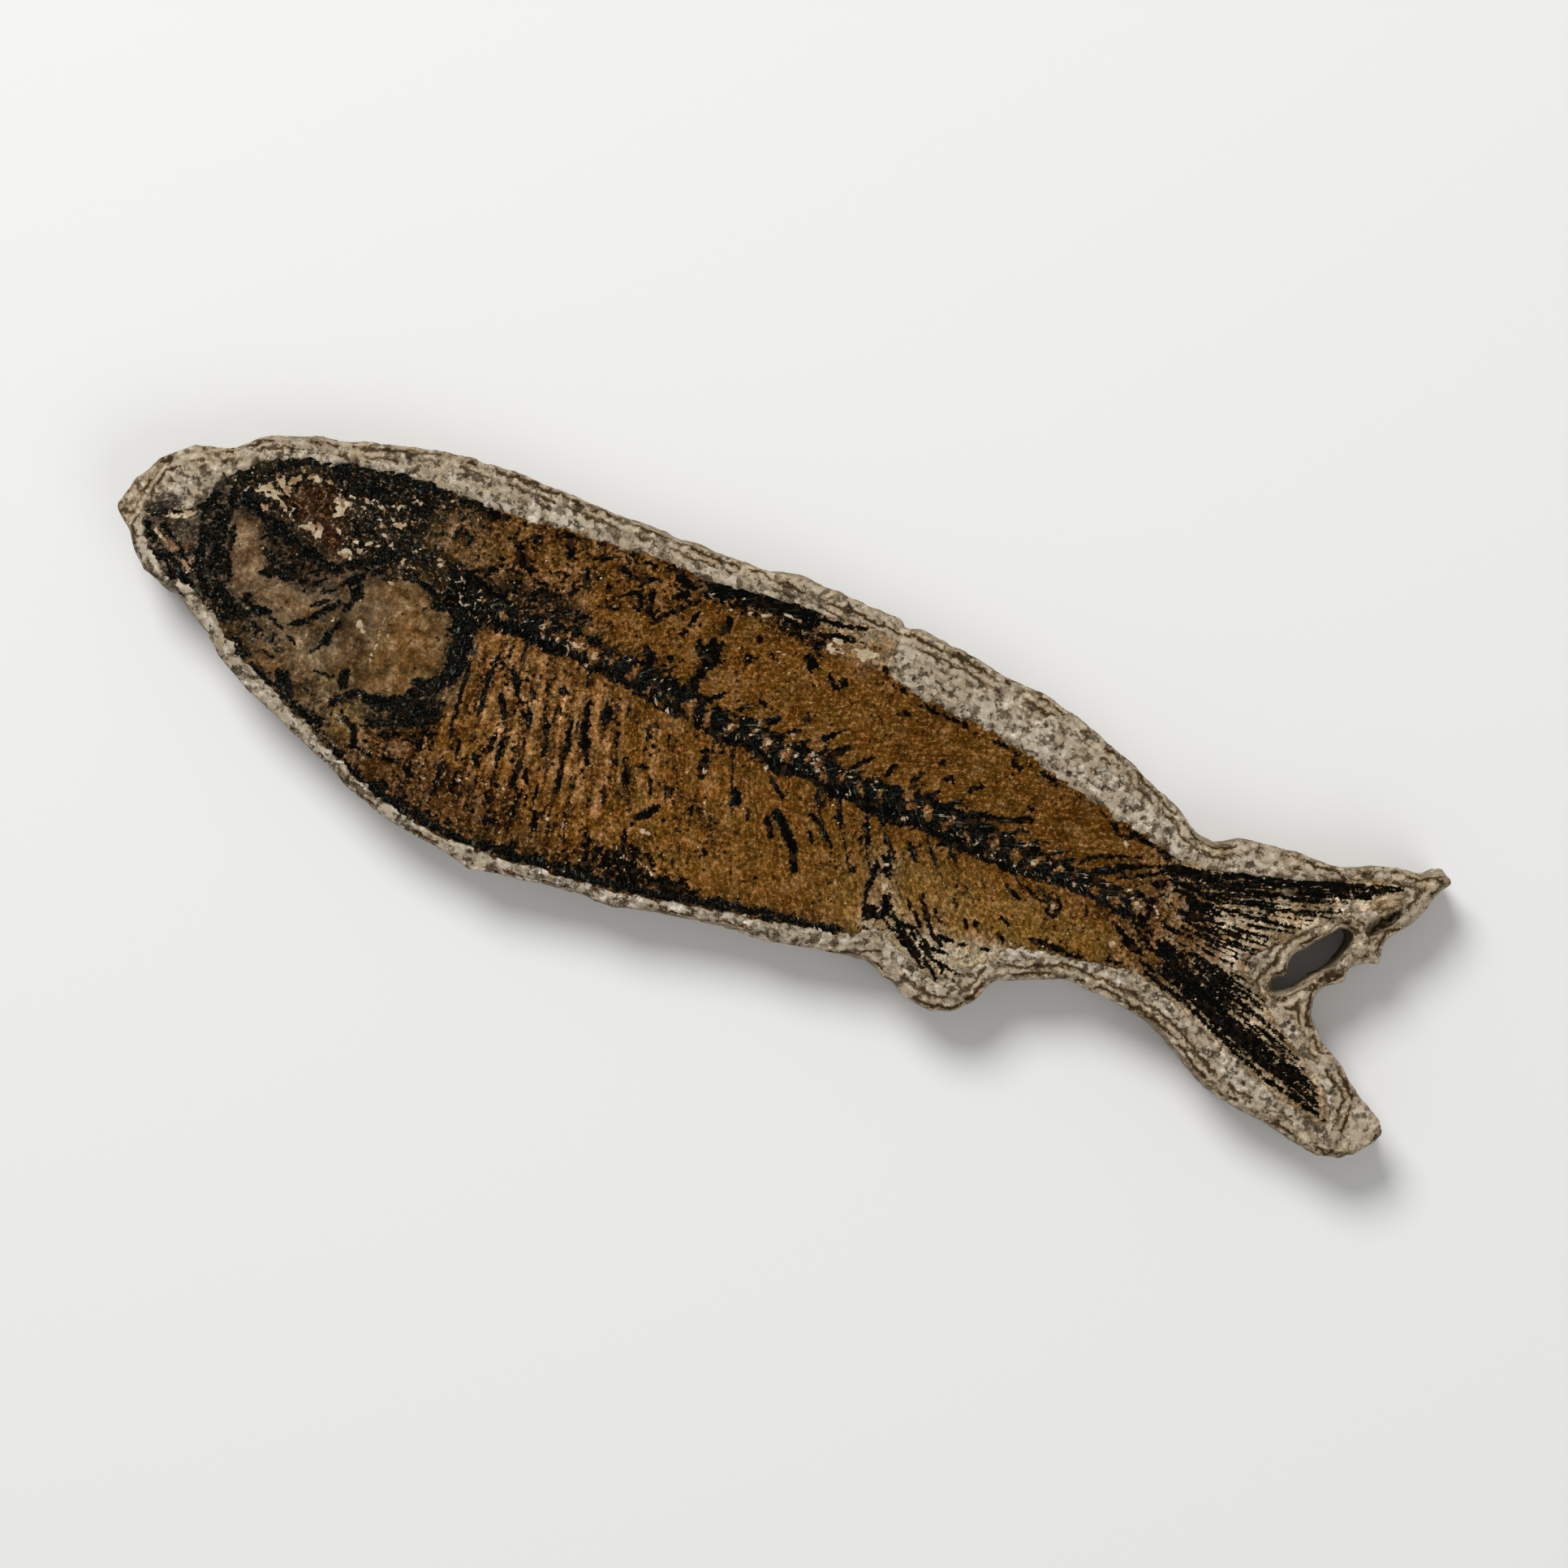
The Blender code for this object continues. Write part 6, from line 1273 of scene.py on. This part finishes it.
def stone_material():
    """Cream limestone in blocks with fine cracks, tan and flaky at its rim, in thin layers on its sides."""
    n = Nodes("limestone")
    n.shader.inputs["Specular IOR Level"].default_value = STONE_SPECULAR

    def show(value, name):
        return n.ramp(value, *STONE_SHOWS[name])

    place, rim, side = n.place(), n.attribute("rim"), n.attribute("side")
    bend = n.noise(place, scale=0.9, detail=3.0, roughness=0.6, output="Color")
    bending = {0: bend, 1: BLOCK_BEND, 2: place}
    bent = n.add("ShaderNodeVectorMath", bending, operation="MULTIPLY_ADD").outputs["Vector"]
    waves = n.channels(bend)[0]
    mottle = n.noise(place, scale=1.2, detail=4.0, roughness=0.62)
    loops = n.noise(place, scale=0.6, detail=3.0, roughness=0.5)
    fine = n.noise(place, scale=1.5, detail=4.0, roughness=0.58)
    layers = n.noise(n.stretch(place, LAYER_HILLS), scale=1.0, detail=3.0, roughness=0.6)
    blocks = n.channels(n.cells(bent, BLOCK_SIZE, output="Color"))
    crack = n.times(show(n.cells(bent, BLOCK_SIZE, "DISTANCE_TO_EDGE"), "crack"), show(mottle, "cracked"))
    loop = n.math("ABSOLUTE", n.math("SUBTRACT", loops, 0.5))
    winding = n.times(show(loop, "winding"), show(mottle, "winding here"))
    patch = n.swing(waves, PATCH_WAVES, mottle)
    zone = show(n.swing(waves, ZONE_WAVES, rim), "inner zone")
    inner = n.mix(show(patch, "grey"), n.mix(blocks[0], STONE_CREAM, STONE_WHITE), STONE_GREY)
    outer = n.mix(show(patch, "brown"), n.mix(show(blocks[1], "tan"), STONE_TAN, STONE_CREAM), STONE_BROWN)
    contour = n.math("MULTIPLY_ADD", waves, CONTOUR_WAVES, n.times(rim, CONTOUR_RIM))
    contour = n.math("MULTIPLY_ADD", mottle, CONTOUR_MOTTLE, contour)
    layered = n.math("PINGPONG", contour, CONTOUR_GAP)
    lined = show(blocks[2], "lined")
    line = n.times(show(layered, "line"), lined, show(zone, "outer line"))
    speck = n.times(show(fine, "speck"), show(waves, "specked"))
    colour = n.mix(n.times(show(layered, "stain"), lined, zone), n.mix(zone, inner, outer), STONE_STAIN)
    colour = n.mix(n.times(n.math("MAXIMUM", crack, winding), CRACK_STRENGTH), colour, STONE_CRACK)
    colour = n.mix(n.times(line, LINE_STRENGTH), colour, STONE_LINE)
    colour = n.mix(n.times(speck, SPECK_SHADE), colour, STONE_SPECK)
    colour = n.mix(n.times(side, SIDE_CREAM), colour, STONE_CREAM)
    colour = n.mix(n.times(side, show(layers, "layer")), colour, STONE_BROWN)
    contrast = show(blocks[1], "contrast")
    shade = n.math("EXPONENT", n.times(n.math("SUBTRACT", STONE_MIDDLE, fine), contrast))
    colour = n.tint(colour, shade, n.math("POWER", shade, GREENER), n.math("POWER", shade, BLUER))
    height = n.math("MULTIPLY_ADD", mottle, MOTTLE_BUMP, n.times(fine, FINE_BUMP))
    height = n.math("MULTIPLY_ADD", n.times(layers, side), LAYER_BUMP, height)
    return n.finish(colour, show(fine, "roughness"), height, STONE_BUMP)


# The stone

STONE_VOXEL = 0.36
# The slot in the tail's fork is this much wider on each side than the plate's, near this path.
SLOT_WIDER, SLOT_PATH, SLOT_NEAR = 0.10, [(51.0, 0.6), (52.6, 2.8), (54.6, 6.4)], (1.8, 2.6)
# The top of the stone, in depth under it, and its steep sides, in how far a face looks up.
TOP_BAND, STEEP = (0.9, 0.1), (0.45, 0.8)
# The layers of the sides: thin ones, wide ones, and how far all of them stand back.
THIN_LAYERS, WIDE_LAYERS, LAYERS_BACK = 0.34, 0.5, 0.14
LAYER_LONG, LAYER_THIN, LAYER_WIDE = 0.5, 1.9, 0.8
# The back bulges here, over the dorsal fin.
BULGE, BULGE_LOW, BULGE_FRONT, BULGE_REAR = 0.4, (16.0, 17.0), (-8.0, -4.0), (10.0, 6.0)
# Under the fish the stone is lower, so that it can't show through. Under these heights it stays flat.
UNDER_FISH, COVERED, TOP_STARTS, FOOT = 0.5, (0.55, 0.9), 1.0, 0.25
# On the belly the rim's colours reach less far in.
BELLY_RIM, BELLY_Y, BELLY_X = 1.6, (2.0, -4.0), (18.0, 10.0)


def sample(field, x, y):
    """A lattice field at any points, smoothly between its corners."""
    i = np.clip((x - X_LOW) / STEP, 0, X_CELLS - 1e-6)
    j = np.clip((y - Y_LOW) / STEP, 0, Y_CELLS - 1e-6)
    i0, j0 = i.astype(int), j.astype(int)
    u, v = i - i0, j - j0
    return (field[i0, j0] * (1 - u) * (1 - v) + field[i0 + 1, j0] * u * (1 - v)
            + field[i0, j0 + 1] * (1 - u) * v + field[i0 + 1, j0 + 1] * u * v)


def per_vertex(mesh, key):
    """Three values for each vertex, such as its place."""
    values = np.zeros(len(mesh.vertices) * 3)
    mesh.vertices.foreach_get(key, values)
    return values.reshape(-1, 3)


def make_stone(rim_depth, fish_cover):
    """The limestone: the plate without its pocket, its rim broken and flaked, its top lumpy."""
    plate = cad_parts["stone_matrix"].data
    points = np.array([vertex.co for vertex in plate.vertices]) / MM
    faces = [list(polygon.vertices) for polygon in plate.polygons]
    turned = points * (1, 1, -1) + (0, 0, STONE_TOP)
    turned_faces = [[len(points) + index for index in face[::-1]] for face in faces]
    solid = new_mesh_object("stone", np.concatenate([points, turned]), faces + turned_faces)
    remesh = solid.modifiers.new("remesh", "REMESH")
    remesh.mode = "VOXEL"
    remesh.voxel_size = STONE_VOXEL * MM
    graph = bpy.context.evaluated_depsgraph_get()
    mesh = bpy.data.meshes.new_from_object(solid.evaluated_get(graph))
    solid.modifiers.clear()
    solid.data = mesh
    co, normal = per_vertex(mesh, "co") / MM, per_vertex(mesh, "normal")
    x, y, z = co.T
    rim = sample(rim_depth, x, y)
    top = smooth(STONE_TOP - TOP_BAND[0], STONE_TOP - TOP_BAND[1], z)
    side = 1 - smooth(*STEEP, np.abs(normal[:, 2]))
    layer = THIN_LAYERS * (noise(x * LAYER_LONG, y * LAYER_LONG, z * LAYER_THIN) - 0.5)
    layer += WIDE_LAYERS * rough(x * LAYER_LONG, y * LAYER_LONG, z * LAYER_WIDE)
    slot = 1 - smooth(*SLOT_NEAR, distance(x, y, SLOT_PATH)[0])
    push = side * (layer - LAYERS_BACK - SLOT_WIDER * slot)
    push += BULGE * side * smooth(*BULGE_LOW, y) * smooth(*BULGE_FRONT, x) * smooth(*BULGE_REAR, x)
    x, y = x + normal[:, 0] * push, y + normal[:, 1] * push
    surface = stone_surface(x, y, rim) - UNDER_FISH * smooth(*COVERED, sample(fish_cover, x, y))
    surface -= hollow_depth(x, y)
    z = np.where(z > TOP_STARTS, z + top * (surface - STONE_TOP), z)
    moved = np.stack([x, y, np.where(z < FOOT, 0.0, z)], axis=1)
    mesh.vertices.foreach_set("co", (moved * MM).ravel())
    mesh.update()
    mesh.shade_smooth()
    give(mesh, "rim", rim + BELLY_RIM * smooth(*BELLY_Y, y) * smooth(*BELLY_X, x))
    give(mesh, "side", side * (1 - top))
    return solid


# Everything together

labels, pocket, on_stone = find_pieces()
RIM_REACH, RIM_BLUR, POCKET_BLUR = 5.0, 4, 8
# The pieces stay inside the stone's rim by this much.
NEAR_POCKET, INSIDE_RIM = 0.03, 0.55
FILM_COVERS = (0.2, 0.8)
rim_depth = to_corners(blur(mask_depth(on_stone > 0, RIM_REACH), RIM_BLUR))
rim_cells = (rim_depth[:-1, :-1] + rim_depth[1:, 1:]) / 2
near_fish = (blur(pocket, POCKET_BLUR) > NEAR_POCKET) & (rim_cells > INSIDE_RIM)
labels = part_corners(spread(labels, near_fish & (on_stone > 0), REACH))
fields = build_relief(labels, pocket, rim_depth)
film, bones = np.minimum(fields["film"], HIGHEST), fields["bones"]

MATERIALS = {
    "skin_film": fish_material("skin_film", blue=0.12, warm=0.85, gloss=0.55, speckle=1.0),
    "black_bone": fish_material("black_bone", blue=0.75, warm=0.3, gloss=0.42, speckle=0.8),
    "rusty_eye": fish_material("rusty_eye", blue=0.2, warm=0.5, gloss=0.45),
    "olive_bone": fish_material("olive_bone", blue=0.6, warm=0.4, gloss=0.5, grain=0.6),
    "brown_bone": fish_material("brown_bone", blue=0.9, warm=0.3, gloss=0.45, grain=0.75),
    "fin_rays": fish_material("fin_rays", blue=0.2, warm=0.3, gloss=0.48),
    "limestone": stone_material(),
}


def dress(piece, node, slot_name):
    """Gives a piece its material, hangs it on the root body, and hides the node of the CAD that it takes the
    place of.
    """
    piece.data.materials.clear()
    piece.data.materials.append(MATERIALS[slot_name])
    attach(piece, "root")
    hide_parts(node)


for number, name in enumerate(NAMES):
    piece = relief_piece(name + "_relief", labels == number, film, PIECE_FLOOR, fields)
    dress(piece, name, PIECES[name][0])

# The backbone stands on the film where its bones are higher than this, and a little under it elsewhere.
BONE_SHOWS, BONE_UNDER, BONE_STEP = 0.012, 0.06, 0.05
bone_corners = blur(bones, 1) > BONE_SHOWS
bone_cells = bone_corners[:-1, :-1] | bone_corners[1:, :-1] | bone_corners[:-1, 1:] | bone_corners[1:, 1:]
bone_cells = part_corners(np.where(bone_cells & (labels >= 0), 0, -1)) == 0
bone_top = np.minimum(film - BONE_UNDER + np.where(bones > 0.0, bones + BONE_STEP, 0.0), HIGHEST)
backbone = relief_piece("backbone_relief", bone_cells, bone_top, BONE_FLOOR, fields)
dress(backbone, "backbone", "black_bone")

stone = make_stone(rim_depth, smooth(*FILM_COVERS, fields["lift"]))
dress(stone, "stone_matrix", "limestone")

# The floor, the light and the camera

FLOOR_HALF, FLOOR_DROP, FLOOR_COLOUR, FLOOR_ROUGHNESS = 1.5, 0.0002, (0.80, 0.80, 0.79, 1.0), 0.9
corners = [(x * FLOOR_HALF, y * FLOOR_HALF, -FLOOR_DROP) for x, y in ((-1, -1), (1, -1), (1, 1), (-1, 1))]
floor_mesh = bpy.data.meshes.new("floor")
floor_mesh.from_pydata(corners, [], [[0, 1, 2, 3]])
floor = bpy.data.objects.new("floor", floor_mesh)
bpy.context.scene.collection.objects.link(floor)
n = Nodes("pale_floor")
n.put(n.shader, {"Base Color": FLOOR_COLOUR, "Roughness": FLOOR_ROUGHNESS})
floor.data.materials.append(n.material)

# Each lamp: its place and size in metres, and its power in watts.
LAMPS = {"key": ((-0.50, 0.42, 0.75), 0.45, 8.0), "fill": ((0.7, -0.3, 0.8), 0.8, 2.4)}
SKY_COLOUR, SKY_STRENGTH = (1.0, 1.0, 1.0, 1.0), 0.33
for name, (place, size, power) in LAMPS.items():
    light = bpy.data.lights.new(name, "AREA")
    light.shape = "DISK"
    light.size = size
    light.energy = power
    lamp = bpy.data.objects.new(name, light)
    lamp.location = place
    lamp.rotation_euler = (-Vector(place)).to_track_quat("-Z", "Y").to_euler()
    bpy.context.scene.collection.objects.link(lamp)
world = bpy.data.worlds.new("studio")
world.use_nodes = True
world.node_tree.nodes["Background"].inputs["Color"].default_value = SKY_COLOUR
world.node_tree.nodes["Background"].inputs["Strength"].default_value = SKY_STRENGTH
bpy.context.scene.world = world
bpy.context.scene.view_settings.view_transform = "Standard"

camera_data = bpy.data.cameras.new("camera")
camera_data.lens = CAMERA_LENS
camera_data.sensor_width = CAMERA_SENSOR
camera_data.clip_start = CAMERA_CLIP
camera = bpy.data.objects.new("camera", camera_data)
camera.location = [c * MM for c in CAMERA_PLACE]
camera.rotation_euler = (0.0, 0.0, CAMERA_TURN)
bpy.context.scene.collection.objects.link(camera)
bpy.context.scene.camera = camera
